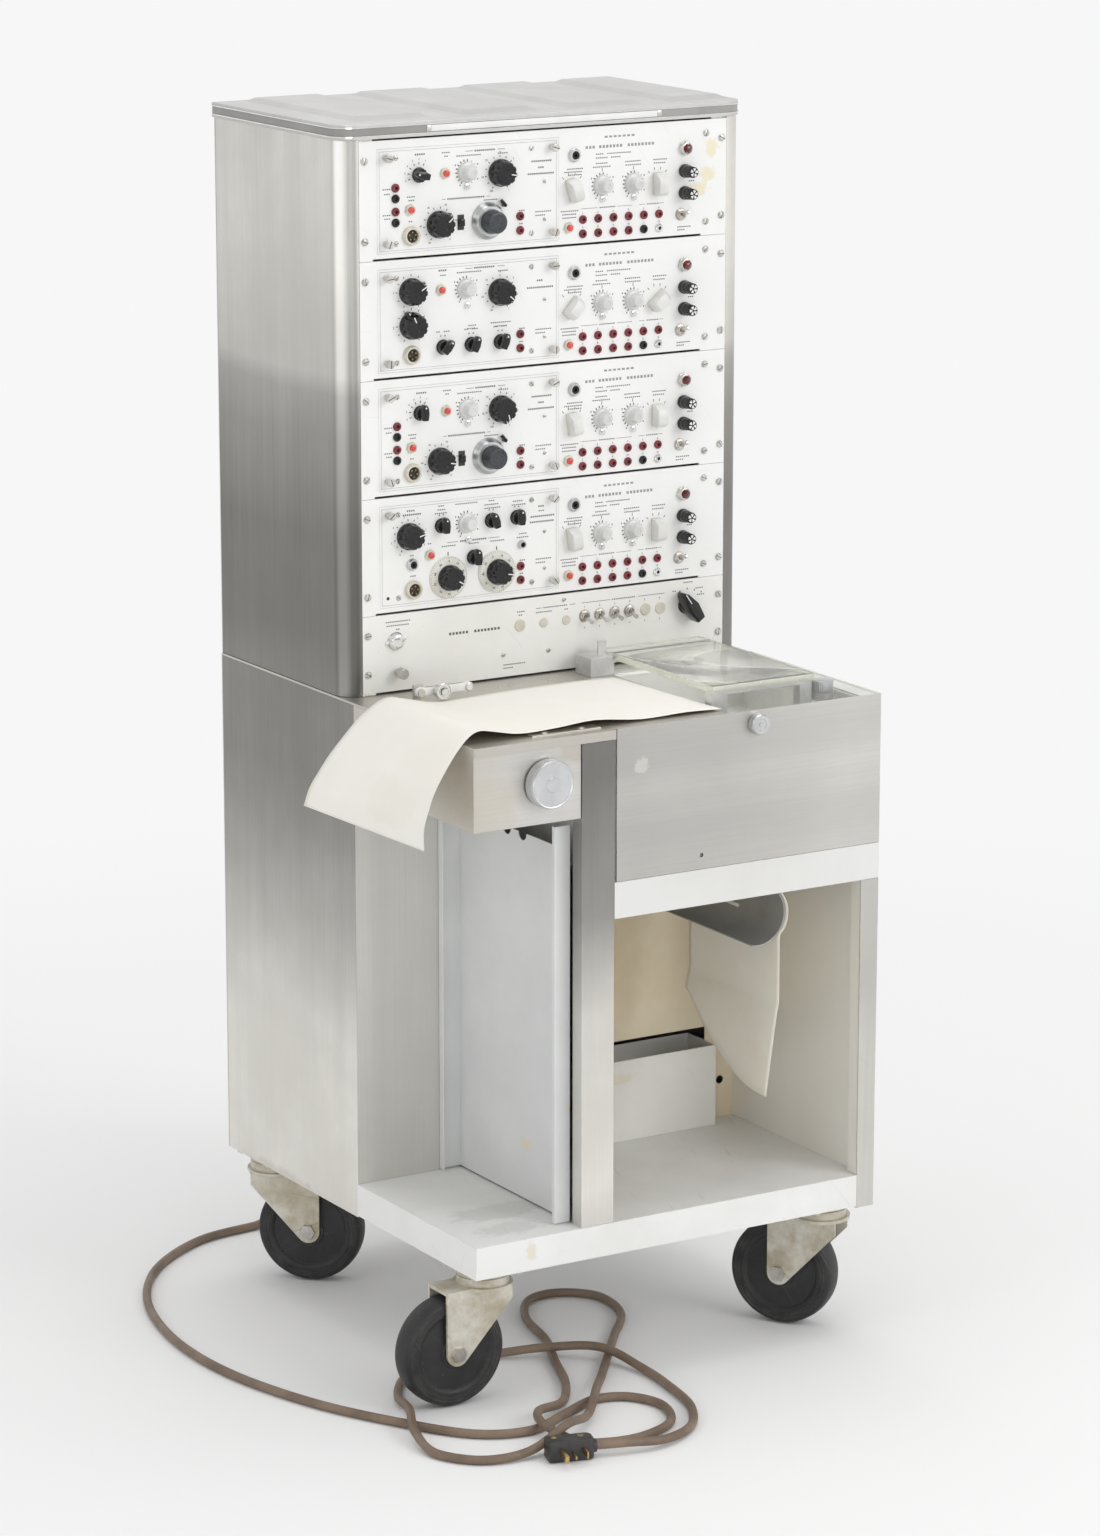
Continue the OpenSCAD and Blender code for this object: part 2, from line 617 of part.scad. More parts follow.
module preamplifiers() color("white") for (i = [0:module_n - 1]) {
    z = module_z(i);
    difference() {
        box([pre_x0, y_p, z + pre_z], [pre_x1, y_p + panel_t, z + pre_z + pre_h]);
        if (i == 0) {
            for (c = [input_at, vernier_at, sens_at, balance_at, ten_at])
                panel_hole(c, z, shaft_r + fit);
            translate([slide_at[0] - 3.2, y_p - 1, z + slide_at[1] - 8])
                cube([6.4, panel_t + 2, 16]);
        }
    }
    chassis(pre_x0 + 4, pre_x1, z + 9, z + module_h - 14);
}

module writer_control() color("white") {
    difference() {
        rack_panel(rack_z, writer_h, 0);
        panel_hole(selector_at, rack_z, shaft_r + fit);
        for (i = [0:3]) panel_hole([toggle_x0 + i * toggle_pitch, toggle_row], rack_z, bush_r + 0.01);
    }
    chassis(-rack_x + rail_face_w + 4, rack_x - rail_face_w - 4,
        rack_z + 6, rack_z + writer_h - 6);
}

// A slotted round head screw standing on the panel
module pan_screw(r, h) difference() {
    union() {
        cylinder(r = r, h = h * 0.6);
        cylinder(r1 = r, r2 = r * 0.75, h = h);
    }
    translate([-r - 1, -0.5, h * 0.5]) cube([2 * r + 2, 1, h]);
}

// A captive screw with a tall slotted head
module captive_screw() difference() {
    union() {
        cylinder(r = 3.2, h = 5);
        translate([0, 0, 4]) cylinder(r = 4.6, h = 8);
    }
    translate([-6, -0.7, 9.5]) cube([12, 1.4, 4]);
}

module panel_screws() color("lightgray") {
    for (i = [0:module_n - 1]) {
        z = module_z(i);
        for (s = [-1, 1], row = ear_rows)
            on_panel([s * ear_x, row], z, 30 * i + 40 * s) pan_screw(4.2, 2.6);
        for (c = inner_screws) on_panel(c, z, 70) pan_screw(4, 2.4);
        for (k = [0:len(pre_screws) - 1])
            on_panel(pre_screws[k], z, 25 * k) pan_screw(k < 4 ? 3 : 2, 1.8);
        for (x = captive_x, row = captive_rows) if (!(i == 3 && x < 0 && row < 50))
            on_panel([x, row], z, 50 + row + 20 * i) captive_screw();
    }
    for (s = [-1, 1], row = ear_rows)
        if (row < writer_h) on_panel([s * ear_x, row], rack_z, 60 * s) pan_screw(4.2, 2.6);
    for (s = [-1, 1]) on_panel([s * ear_x, writer_h - rack_u / 2], rack_z, 20) pan_screw(4.2, 2.6);
    for (c = writer_screws) on_panel(c, rack_z, 20) pan_screw(2.6, 1.8);
    on_panel(knurled_at, rack_z) {
        cylinder(r = 3.5, h = 6);
        translate([0, 0, 5.9]) cylinder(r = 6.2, h = 11);
    }
}

bush_r = 5;

// A pin jack with its hole
module pin_jack() difference() {
    union() {
        cylinder(r = jack_r, h = 2);
        cylinder(r = jack_r - 1, h = 3.2);
    }
    translate([0, 0, 0.5]) cylinder(r = 1.9, h = 5);
}

// A round multi-pin socket in a raised ring
module socket() {
    difference() {
        union() {
            cylinder(r = 10.4, h = 3);
            cylinder(r = 9, h = 5.5);
        }
        translate([0, 0, 0.6]) cylinder(r = 7.4, h = 9);
    }
    for (a = [0:72:288]) rotate([0, 0, a]) translate([4.2, 0, 0.6]) cylinder(r = 0.9, h = 3.4);
}

// A phone jack in a nut
module phone_jack(r) difference() {
    union() {
        cylinder(r = r, h = 3);
        cylinder(r = r - 1.8, h = 7);
    }
    translate([0, 0, 1]) cylinder(r = 3.2, h = 9);
}

// A jewelled pilot lamp
module pilot_lamp() {
    cylinder(r = 8, h = 2.5);
    translate([0, 0, 2.4]) cylinder(r1 = 7.4, r2 = 6.2, h = 5);
    translate([0, 0, 7.3]) intersection() {
        translate([0, 0, -3]) sphere(r = 6.4);
        cylinder(r = 5.2, h = 5);
    }
}

// A panel fuse holder with a fluted cap
module fuse_holder() {
    cylinder(r = 7.8, h = 9);
    translate([0, 0, 8.9]) difference() {
        cylinder(r = 6.6, h = 12);
        for (a = [0:45:315]) rotate([0, 0, a]) translate([7.2, 0, 3]) cylinder(r = 1.3, h = 12);
        translate([-8, -0.8, 10.5]) cube([16, 1.6, 3]);
    }
}

// The nut and bush of a toggle switch; the lever is a part of its own
module toggle_bush() difference() {
    union() {
        cylinder(r = 6.6, h = 2.2, $fn = 6);
        translate([0, 0, -panel_t]) cylinder(r = bush_r, h = panel_t + 5);
    }
    translate([0, 0, -panel_t - 1]) cylinder(r = toggle_ball + 0.5, h = panel_t + 10);
}

toggle_ball = 2.8;
toggle_pivot = 1.2;

module toggle_lever(lean) translate([0, 0, toggle_pivot]) rotate([lean, 0, 0]) {
    sphere(r = toggle_ball);
    rotate([0, 90, 0]) cylinder(r = 0.8, h = 2 * toggle_ball + 0.6, center = true);
    cylinder(r1 = 1.5, r2 = 2.6, h = toggle_l - 2.6);
    translate([0, 0, toggle_l - 2.6]) sphere(r = 2.6);
}

// The nut and cap of a push button
module button_nut() difference() {
    cylinder(r = 6.4, h = 3, $fn = 6);
    translate([0, 0, -1]) cylinder(r = button_r + fit, h = 6);
}

module button_cap(shank) translate([0, 0, -shank]) {
    cylinder(r = button_r, h = shank + 5);
    translate([0, 0, shank + 4.9]) cylinder(r1 = button_r, r2 = button_r - 0.8, h = 0.9);
}

module panel_fittings() color("firebrick") {
    for (i = [0:module_n - 1]) {
        z = module_z(i);
        on_panel(connector_at, z) socket();
        for (c = out_jacks) on_panel(c, z) pin_jack();
        if (i == 0 || i == 2) {
            for (c = side_jacks) on_panel(c, z) pin_jack();
            on_panel(lock_at, z, 40) lock_lever();
            for (c = [cal_at, mode_at]) on_panel(c, z) { button_nut(); button_cap(0); }
        }
        if (i == 1) on_panel(eeg_button, z) { button_nut(); button_cap(0); }
        if (i == 3) {
            on_panel(tach_button, z) { button_nut(); button_cap(0); }
            on_panel(tach_jacks[0], z) phone_jack(7);
            on_panel(tach_jacks[1], z) phone_jack(5);
        }
        on_panel(phone_at, z) phone_jack(7.9);
        on_panel(lamp_at, z) pilot_lamp();
        for (c = fuses_at) on_panel(c, z) fuse_holder();
        for (k = [0:jack_cols - 1], row = jack_rows)
            on_panel([jack_x0 + k * jack_pitch, row], z) pin_jack();
        on_panel(driver_cal_at, z) {
            button_nut();
            if (i > 0) button_cap(0);
        }
        if (i == 0) on_panel(power_at, z) toggle_bush();
        else on_panel(power_at, z) { cylinder(r = 6.6, h = 2.2, $fn = 6); fixed_lever(); }
    }
    for (k = [0:3]) on_panel([toggle_x0 + k * toggle_pitch, toggle_row], rack_z) toggle_bush();
    for (c = plugs_at) on_panel(c, rack_z) cylinder(r = c[2], h = 1.6);
    on_panel(chrome_cap_at, rack_z) {
        cylinder(r = 10.5, h = 4);
        translate([0, 0, 3.9]) cylinder(r = 9, h = 4);
    }
}

// A toggle lever that stays with its nut
module fixed_lever() translate([0, 0, 2.1]) rotate([-toggle_lean, 0, 0]) {
    cylinder(r1 = 1.5, r2 = 2.6, h = toggle_l - 2.6);
    translate([0, 0, toggle_l - 2.6]) sphere(r = 2.6);
}

// The brake lever beside a ten-turn dial
module lock_lever() {
    cylinder(r = 2.2, h = 5);
    translate([-2, 0, 3]) cube([4, 8, 2]);
}

// A large black knob with flutes and a pointer groove
module fluted_knob(r, h) {
    skirt = 0.3 * h;
    cylinder(r = r, h = skirt);
    difference() {
        union() {
            translate([0, 0, skirt - 0.1]) linear_extrude(h - skirt - 0.9) difference() {
                circle(r - 0.7);
                for (a = [120:30:420]) rotate(a) translate([r + 1.2, 0]) circle(2.2);
            }
            translate([0, 0, h - 1.1]) cylinder(r = r - 3.4, h = 1.1);
        }
        translate([-0.6, r * 0.35, h - 1.8]) cube([1.2, r, 3]);
    }
}

// A small black knob with a pointer bar
module pointer_knob() {
    cylinder(r = pointer_r, h = 7);
    translate([0, 0, 6.9]) intersection() {
        cylinder(r = pointer_r, h = 8);
        translate([-3.4, -pointer_r, 0]) cube([6.8, 2 * pointer_r, 8]);
    }
}

// A round skirt with a smaller cap
module skirt_knob() {
    cylinder(r1 = skirt_r, r2 = skirt_r - 1, h = 3.5);
    translate([0, 0, 3.4]) cylinder(r1 = skirt_r - 4, r2 = skirt_r - 4.8, h = 11);
}

// A tall bar knob of a lever switch
module flag_knob() rotate([90, 0, 90]) translate([0, 0, -6.5]) linear_extrude(13)
    polygon([[-13, 0], [13, 0], [13, 7], [7, 16], [-9, 16], [-13, 11]]);

// A numbered skirt with a fluted knob
module dial_knob() {
    cylinder(r = dial_r, h = 3);
    translate([0, 0, 2.9]) fluted_knob(knob_r - 0.6, 15);
}

module ten_turn() {
    cylinder(r1 = ten_r, r2 = ten_r - 4, h = 9);
    translate([0, 0, 8.9]) cylinder(r = 13.2, h = 15);
}

// The shaft of a turning control, from its knob back through the panel
module shaft() translate([0, 0, -knob_gap - panel_t - 9])
    cylinder(r = shaft_r, h = knob_gap + panel_t + 9.1);

module turning(at, z, turn) on_panel(at, z, turn) translate([0, 0, knob_gap]) {
    children();
    shaft();
}

module black_knobs() color("black") {
    for (i = [1, 2, 3]) {
        z = module_z(i);
        if (i == 1) {
            for (k = [0:2]) on_panel(eeg_knobs[k], z, [-60, 25, -130][k]) fluted_knob(knob_r, knob_h);
            for (k = [0:2]) on_panel(eeg_pointers[k], z, [-40, -20, -20][k]) pointer_knob();
        }
        if (i == 2) {
            on_panel(input_at, z, 0) pointer_knob();
            on_panel(sens_at, z, -165) fluted_knob(knob_r, knob_h);
            on_panel(balance_at, z, -100) fluted_knob(knob_r, knob_h);
            on_panel(ten_at, z) ten_turn();
            on_panel(slide_at, z) translate([-3, -4, 0]) cube([6, 8, 5]);
        }
        if (i == 3) {
            on_panel(tach_lead, z, -75) fluted_knob(knob_r, knob_h);
            for (k = [0:3]) on_panel(tach_pointers[k], z, [0, 15, 0, 0][k]) pointer_knob();
            for (k = [0, 1]) on_panel(tach_dials[k], z, [-120, -100][k]) dial_knob();
        }
    }
}

module white_knobs() color("whitesmoke") {
    for (i = [1, 2, 3]) {
        z = module_z(i);
        on_panel(polarity_at, z, i == 1 ? -42 : 8) flag_knob();
        on_panel(filter_at, z, i == 1 ? -50 : 0) flag_knob();
        on_panel(gain_at, z) skirt_knob();
        on_panel(position_at, z) skirt_knob();
        on_panel(i == 2 ? vernier_at : vernier_at + [-1.6, 3], z) skirt_knob();
    }
    for (i = [0:module_n - 1]) {
        z = module_z(i);
        for (c = [gain_at, position_at]) on_panel(c + [0, -16.2], z) cylinder(r = 3.2, h = 5);
        on_panel(vernier_at + [0, -16.2], z) cylinder(r = 3.2, h = 5);
    }
}

module chart_selector() color("black") turning(selector_at, rack_z, 35) {
    cylinder(r = 9, h = 8);
    linear_extrude(20)
        polygon([[-6, -20], [6, -20], [8.5, 0], [4, 17], [0, 22], [-4, 17], [-8.5, 0]]);
}

module writer_toggle(k) color("gainsboro")
    on_panel([toggle_x0 + k * toggle_pitch, toggle_row], rack_z) toggle_lever(toggle_lean);
module writer_toggle_1() writer_toggle(0);
module writer_toggle_2() writer_toggle(1);
module writer_toggle_3() writer_toggle(2);
module writer_toggle_4() writer_toggle(3);

module polarity_switch() color("whitesmoke") turning(polarity_at, module_z(0), 15) flag_knob();
module filter_switch() color("whitesmoke") turning(filter_at, module_z(0), 0) flag_knob();
module gain_knob() color("whitesmoke") turning(gain_at, module_z(0), 0) skirt_knob();
module position_knob() color("whitesmoke") turning(position_at, module_z(0), 0) skirt_knob();
module power_toggle() color("gainsboro") on_panel(power_at, module_z(0)) toggle_lever(-toggle_lean);
module cal_button() color("red") on_panel(driver_cal_at, module_z(0)) button_cap(panel_t + 5);
module input_selector() color("black") turning(input_at, module_z(0), 75) pointer_knob();
module vernier_knob() color("whitesmoke") turning(vernier_at, module_z(0), 0) skirt_knob();
module sensitivity_knob() color("black")
    turning(sens_at, module_z(0), -100) fluted_knob(knob_r, knob_h);
module balance_knob() color("black")
    turning(balance_at, module_z(0), -50) fluted_knob(knob_r, knob_h);
module slide_switch() color("black") on_panel(slide_at, module_z(0)) {
    translate([-3, -4, -panel_t - 2]) cube([6, 8, panel_t + 7]);
    translate([-5, -6, -panel_t - 4]) cube([10, 12, 3.6]);
}
module ten_turn_dial() color("black") turning(ten_at, module_z(0), 0) ten_turn();

module drive_knob() color("lightgray") translate([drive_x, y_f - knob_gap, drive_z]) rotate([90, 0, 0]) {
    cylinder(r = drive_knob_r, h = drive_knob_h - 2);
    translate([0, 0, drive_knob_h - 2.01])
        cylinder(r1 = drive_knob_r, r2 = drive_knob_r - 1.6, h = 2.01);
    translate([0, 0, y_f - knob_gap - y_m + 0.5])
        cylinder(r = drive_shaft_r, h = y_m - y_f + knob_gap - 0.4);
    translate([0, 0, -140]) cylinder(r = roller_r, h = 110);
}

module pressure_arm() color("whitesmoke") translate([press_x, press_y, press_z]) {
    rotate([90, 0, 0]) difference() {
        union() {
            cylinder(r = 6, h = 5);
            translate([0, -4.5, 0]) cube([press_l, 9, 5]);
            translate([press_l, 0, 0]) cylinder(r = 6, h = 5);
        }
        translate([0, 0, -1]) cylinder(r = pin_r + fit, h = 8);
    }
    translate([press_reach, 0, 0]) rotate([90, 0, 0]) {
        cylinder(r = pin_r, h = 16.5);
        translate([0, 0, 15]) cylinder(r = pin_r + 2, h = 2);
    }
}

module pressure_wheel() color("silver") translate([press_x + press_reach, press_y - 5.5, press_z])
    rotate([90, 0, 0]) difference() {
        cylinder(r = press_r, h = 9);
        translate([0, 0, -1]) cylinder(r = pin_r + fit, h = 12);
    }

module thumb_nut() color("lightgray") translate([thumb_x, y_f - 0.3, thumb_z]) rotate([90, 0, 0]) {
    cylinder(r = thumb_r, h = 9);
    translate([0, 0, 8.9]) cylinder(r1 = thumb_r, r2 = thumb_r - 1.2, h = 1.2);
    translate([0, 0, -8]) cylinder(r = drive_shaft_r, h = 8.1);
}

module clear_plate() color("honeydew", 0.5)
    box([plate_x, plate_y, plate_z0], [plate_x + plate_w, plate_y + plate_d, plate_z0 + plate_t]);

// The cast arch under the plate, the casting at its back and the knurled post
module plate_bracket() color("lightgray") {
    z = plate_z0;
    y = plate_y + 6;
    foot = deck_h - 58;
    difference() {
        box([plate_x + 2, y, z - 9], [plate_x + plate_w, y + 14, z]);
        box([plate_x + 24, y - 1, z - 10], [plate_x + plate_w - 16, y + 15, z - 5]);
    }
    box([plate_x + 2, y, foot], [plate_x + 24, y + 14, z - 8.9]);
    box([plate_x + plate_w - 16, y, foot], [plate_x + plate_w, y + 14, z - 8.9]);
    box([plate_x - 34, y_m - 25, deck_h], [plate_x - 4, y_m + 9, deck_h + 22]);
    box([plate_x - 5, y_m - 12, deck_h], [plate_x + 6, y_m + 4, z]);
    box([plate_x - 12, y_m - 6, deck_h + 21], [plate_x - 1, y_m - 2, deck_h + 37]);
    box([plate_x, y_m - 12, z - 5], [plate_x + plate_w, y_m - 2, z]);
    translate([plate_x + plate_w + 14, y_f + 44, foot]) {
        cylinder(r = 4, h = deck_h - foot);
        translate([0, 0, deck_h - 8 - foot]) cylinder(r = 12, h = 22);
    }
}

// Faces of a grid of points, and of the rim between it and a second grid
function grid_faces(n, m, o, flip) = [for (i = [0:n - 2], j = [0:m - 2], t = [0, 1])
    let (a = o + i * m + j, b = a + 1, c = a + m, d = c + 1,
        f = t == 0 ? [a, c, b] : [b, c, d]) flip ? [f[2], f[1], f[0]] : f];
function rim_faces(n, m, o) = let (loop = concat([for (j = [0:m - 2]) j],
    [for (i = [0:n - 2]) i * m + m - 1], [for (j = [m - 1:-1:1]) (n - 1) * m + j],
    [for (i = [n - 1:-1:1]) i * m]), k = len(loop))
    [for (q = [0:k - 1], t = [0, 1]) let (a = loop[q], b = loop[(q + 1) % k])
        t == 0 ? [a, b, b + o] : [a, b + o, a + o]];

function unit(v) = v / norm(v);

// A thin closed sheet between a grid of points and the same grid moved square to it
module thin_sheet(grid, thick) {
    n = len(grid);
    m = len(grid[0]);
    low = [for (row = grid, p = row) p];
    high = [for (i = [0:n - 1], j = [0:m - 1]) let (d = grid[min(n - 1, i + 1)][j]
        - grid[max(0, i - 1)][j]) grid[i][j] + thick * unit([d[2], 0, -d[0]])];
    polyhedron(points = concat(low, high), convexity = 6,
        faces = concat(grid_faces(n, m, 0, false), grid_faces(n, m, n * m, true),
            rim_faces(n, m, n * m)));
}

paper_rows = 6;

module chart_paper() color("ivory") {
    n = len(front_edge);
    grid = [for (k = [0:n - 1]) [for (j = [0:paper_rows]) let (s = j / paper_rows,
        p = front_edge[k] * (1 - s) + back_edge[k] * s,
        sag = k < 7 ? 1 - 0.5 * sin(180 * s) : 1)
        [p[0], paper_y + paper_w * s, deck_h + 0.3 + p[1] * sag]]];
    thin_sheet(grid, paper_t);
}

module hanging_paper() color("ivory") {
    n = len(hang_path);
    rows = len(torn) - 1;
    grid = [for (k = [0:n]) [for (j = [0:rows])
        let (p = hang_path[min(k, n - 1)], fall = k == n ? torn[j] : 0)
        [guide_x + p[0] - torn_lean * fall, guide_y - 4 + j * hang_w / rows, guide_z + p[1] - fall]]];
    thin_sheet(grid, paper_t);
}

// A point of the smooth curve through the route, at u between points i and i + 1
function pick(p, i) = p[max(0, min(len(p) - 1, i))];
function curve(p, i, u) = let (a = pick(p, i - 1), b = pick(p, i), c = pick(p, i + 1), d = pick(p, i + 2))
    0.5 * (2 * b + (c - a) * u + (2 * a - 5 * b + 4 * c - d) * u * u
        + (3 * b - a - 3 * c + d) * u * u * u);
function smooth(p, k) = [for (i = [0:len(p) - 2], j = [0:k - 1]) curve(p, i, j / k), p[len(p) - 1]];
// A tube of rings square to a line of points
module tube(line, r, sides) {
    n = len(line);
    rings = [for (i = [0:n - 1]) let (t = unit(line[min(n - 1, i + 1)] - line[max(0, i - 1)]),
        side = unit(abs(t[2]) > 0.9 ? cross(t, [1, 0, 0]) : cross(t, [0, 0, 1])), up = cross(side, t))
        for (j = [0:sides - 1]) let (a = 360 * (j + 0.5) / sides)
            line[i] + (side * cos(a) + up * sin(a)) * r / cos(180 / sides)];
    skin = [for (i = [0:n - 2], j = [0:sides - 1], t = [0, 1]) let (k = (j + 1) % sides,
        a = i * sides + j, b = i * sides + k, c = a + sides, d = b + sides)
        t == 0 ? [a, c, b] : [b, c, d]];
    polyhedron(points = rings, convexity = 10, faces = concat(skin,
        [[for (j = [0:sides - 1]) j]], [[for (j = [sides - 1:-1:0]) (n - 1) * sides + j]]));
}

module mains_cord() color("dimgray")
    tube([for (p = smooth(route, 2)) [p[0], p[1], max(p[2], cord_r)]], cord_r, cord_sides);

module mains_plug() color("dimgray") translate([plug_at[0], plug_at[1], 0]) rotate([0, 0, plug_turn]) {
    s = plug_size;
    translate([-s[0] / 2, -s[1] / 2, 0]) cube(s);
    for (k = [-1, 0, 1]) translate([k * 13 - 1, -s[1] / 2 - (k < 0 ? 24 : 17), 8])
        cube([k < 0 ? 4 : 2, k < 0 ? 24.1 : 17.1, k == 0 ? 4 : 8]);
}

module cord_gland() color("dimgray") translate(gland_at) rotate([-90, 0, 0]) {
    translate([0, 0, -sheet - 6]) cylinder(r = cord_r + 1.8, h = sheet + 6.1);
    cylinder(r = cord_r + 5, h = 4);
    translate([0, 0, 3.9]) cylinder(r1 = cord_r + 3.5, r2 = cord_r + 1, h = gland_l - 3.9);
}

// The top plates, upper collars and king pins of the four castors
module castor_plates() color("beige") for (c = [fl, fr, bl, br]) translate(castor_xy(c)) {
    translate([-castor_plate[0] / 2, -castor_plate[1] / 2, plate_z])
        cube([castor_plate[0], castor_plate[1], castor_h - plate_z]);
    translate([0, 0, crown_z + crown_t + 9.5]) cylinder(r = collar_r, h = plate_z - crown_z - crown_t - 9.4);
    translate([0, 0, crown_z - 4]) cylinder(r = kingpin_r, h = plate_z - crown_z + 4);
    translate([0, 0, crown_z - 6]) cylinder(r = 10, h = 5.7);
}

function castor_xy(c) = [c[0] * (x_r - castor_in_x),
    c[1] < 0 ? y_f + castor_front : y_b - castor_back, 0];

// A castor fork with its lower collar, legs and axle bolt
module fork(c) color("beige") translate(castor_xy(c)) rotate([0, 0, c[2]]) {
    half = wheel_w / 2 + fork_gap;
    difference() {
        union() {
            translate([0, 0, crown_z]) linear_extrude(crown_t) {
                circle(collar_r + 4);
                translate([-18, -half - fork_t]) square([18 + trail + 14, 2 * (half + fork_t)]);
            }
            translate([0, 0, crown_z + crown_t - 0.01]) cylinder(r = collar_r, h = 9.2);
            for (s = [-1, 1]) translate([0, s * (half + fork_t / 2) + fork_t / 2, 0])
                rotate([90, 0, 0]) linear_extrude(fork_t) {
                    translate([trail, wheel_r]) circle(14);
                    polygon([[-26, crown_z + 1], [trail + 14, crown_z + 1], [trail + 14, wheel_r],
                        [trail - 9.9, wheel_r - 9.9], [-26, crown_z - 15]]);
                }
        }
        translate([0, 0, crown_z - 20]) cylinder(r = kingpin_r + fit, h = 60);
    }
    translate([trail, half + fork_t + 4, wheel_r]) rotate([90, 0, 0])
        cylinder(r = axle_r, h = 2 * (half + fork_t + 4));
    for (s = [-1, 1]) translate([trail, s * (half + fork_t + 2) + 2, wheel_r]) rotate([90, 0, 0])
        cylinder(r = 9.5, h = 4, $fn = 6);
}

// A castor wheel with its hub and a shallow dish
module castor_wheel(c) color("dimgray") translate(castor_xy(c)) rotate([0, 0, c[2]])
    translate([trail, 0, wheel_r]) rotate([90, 0, 0]) rotate_extrude($fn = 96)
        polygon([[axle_r + fit, -wheel_w / 2 - 1], [18, -wheel_w / 2 - 1], [18, -wheel_w / 2 + 2],
            [dish_r - 3, -wheel_w / 2 + 3], [dish_r, -wheel_w / 2], [wheel_r - 4, -wheel_w / 2],
            [wheel_r - 0.8, -wheel_w / 2 + 4], [wheel_r, 0], [wheel_r - 0.8, wheel_w / 2 - 4],
            [wheel_r - 4, wheel_w / 2], [dish_r, wheel_w / 2], [dish_r - 3, wheel_w / 2 - 3],
            [18, wheel_w / 2 - 2], [18, wheel_w / 2 + 1], [axle_r + fit, wheel_w / 2 + 1]]);

module fork_front_left() fork(fl);
module fork_front_right() fork(fr);
module fork_back_left() fork(bl);
module fork_back_right() fork(br);
module wheel_front_left() castor_wheel(fl);
module wheel_front_right() castor_wheel(fr);
module wheel_back_left() castor_wheel(bl);
module wheel_back_right() castor_wheel(br);

side_panels();
back_panels();
base_tray();
bulkhead();
middle_post();
deck_plate();
chute_panel();
drive_box();
writer_well();
writer_cover();
storage_shelf();
storage_bin();
paper_guide();
upper_shell();
lid();
rack_rails();
driver_amplifiers();
preamplifiers();
writer_control();
panel_screws();
panel_fittings();
black_knobs();
white_knobs();
clear_plate();
plate_bracket();
chart_paper();
hanging_paper();
mains_cord();
mains_plug();
cord_gland();
castor_plates();
fork_front_left();
fork_front_right();
fork_back_left();
fork_back_right();
wheel_front_left();
wheel_front_right();
wheel_back_left();
wheel_back_right();
drive_knob();
pressure_arm();
pressure_wheel();
thumb_nut();
chart_selector();
writer_toggle_1();
writer_toggle_2();
writer_toggle_3();
writer_toggle_4();
polarity_switch();
filter_switch();
gain_knob();
position_knob();
power_toggle();
cal_button();
input_selector();
vernier_knob();
sensitivity_knob();
balance_knob();
slide_switch();
ten_turn_dial();
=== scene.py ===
"""Dresses the chart recorder: sheet metal, panels and their controls, papers, castors and the mains lead.

Shapes are made in millimetres and brought to metres as each piece is finished.
"""

from functools import cache
from math import atan2, cos, hypot, pi, radians, sin

import bmesh
import bpy
from mathutils import Matrix, Vector


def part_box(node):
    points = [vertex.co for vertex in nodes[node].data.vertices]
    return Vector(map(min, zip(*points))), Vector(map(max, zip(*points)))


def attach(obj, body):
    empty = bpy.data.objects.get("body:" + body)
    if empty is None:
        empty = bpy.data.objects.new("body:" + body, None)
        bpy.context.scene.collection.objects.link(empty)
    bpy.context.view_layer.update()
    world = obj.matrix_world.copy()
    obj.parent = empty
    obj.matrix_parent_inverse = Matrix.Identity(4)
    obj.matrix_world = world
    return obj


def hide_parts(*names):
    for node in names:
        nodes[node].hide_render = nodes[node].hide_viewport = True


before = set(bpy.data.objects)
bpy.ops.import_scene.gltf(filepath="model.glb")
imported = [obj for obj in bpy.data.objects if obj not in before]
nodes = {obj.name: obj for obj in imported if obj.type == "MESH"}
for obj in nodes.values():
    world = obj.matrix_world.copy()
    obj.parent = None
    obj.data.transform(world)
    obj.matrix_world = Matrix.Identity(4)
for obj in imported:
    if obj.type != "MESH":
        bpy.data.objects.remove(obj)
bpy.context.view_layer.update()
scene = bpy.context.scene
MM = 0.001
HERE = Matrix.Identity(4)
BACKDROP, WORLD_LIGHT = 0.93, 0.72
WHITE = (1, 1, 1, 1)


def edges_of(node):
    """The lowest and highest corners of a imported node, in millimetres."""
    low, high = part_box(node)
    return low / MM, high / MM


def linked(name, data):
    obj = bpy.data.objects.new(name, data)
    scene.collection.objects.link(obj)
    return obj


# Shader trees

class Net:
    """A tree of shader nodes, with short ways to add the usual ones."""

    def __init__(self, tree):
        self.tree = tree

    def put(self, kind, settings=None, inputs=None):
        """Adds a node, with its settings, and feeds its inputs with values or with other nodes' outputs."""
        node = self.tree.nodes.new("ShaderNode" + kind)
        for key, value in (settings or {}).items():
            setattr(node, key, value)
        for key, value in (inputs or {}).items():
            if isinstance(value, bpy.types.NodeSocket):
                self.tree.links.new(value, node.inputs[key])
            else:
                node.inputs[key].default_value = value
        return node

    def math(self, operation, *values):
        return self.put("Math", {"operation": operation}, dict(enumerate(values))).outputs[0]

    def vector(self, operation, *values, **inputs):
        node = self.put("VectorMath", {"operation": operation}, {**dict(enumerate(values)), **inputs})
        return node.outputs["Value" if operation in ("DOT_PRODUCT", "LENGTH") else "Vector"]

    def ramp(self, value, low, high, to_low=0.0, to_high=1.0, kind="LINEAR"):
        return self.put("MapRange", {"interpolation_type": kind},
                        {"Value": value, "From Min": low, "From Max": high, "To Min": to_low,
                         "To Max": to_high}).outputs[0]

    def noise(self, place, scale, detail, roughness=0.5):
        return self.put("TexNoise", {}, {"Vector": place, "Scale": scale, "Detail": detail,
                                         "Roughness": roughness}).outputs["Fac"]

    def mix(self, mask, below, above, **settings):
        return self.put("Mix", {"data_type": "RGBA", **settings}, {0: mask, 6: below, 7: above}).outputs[2]


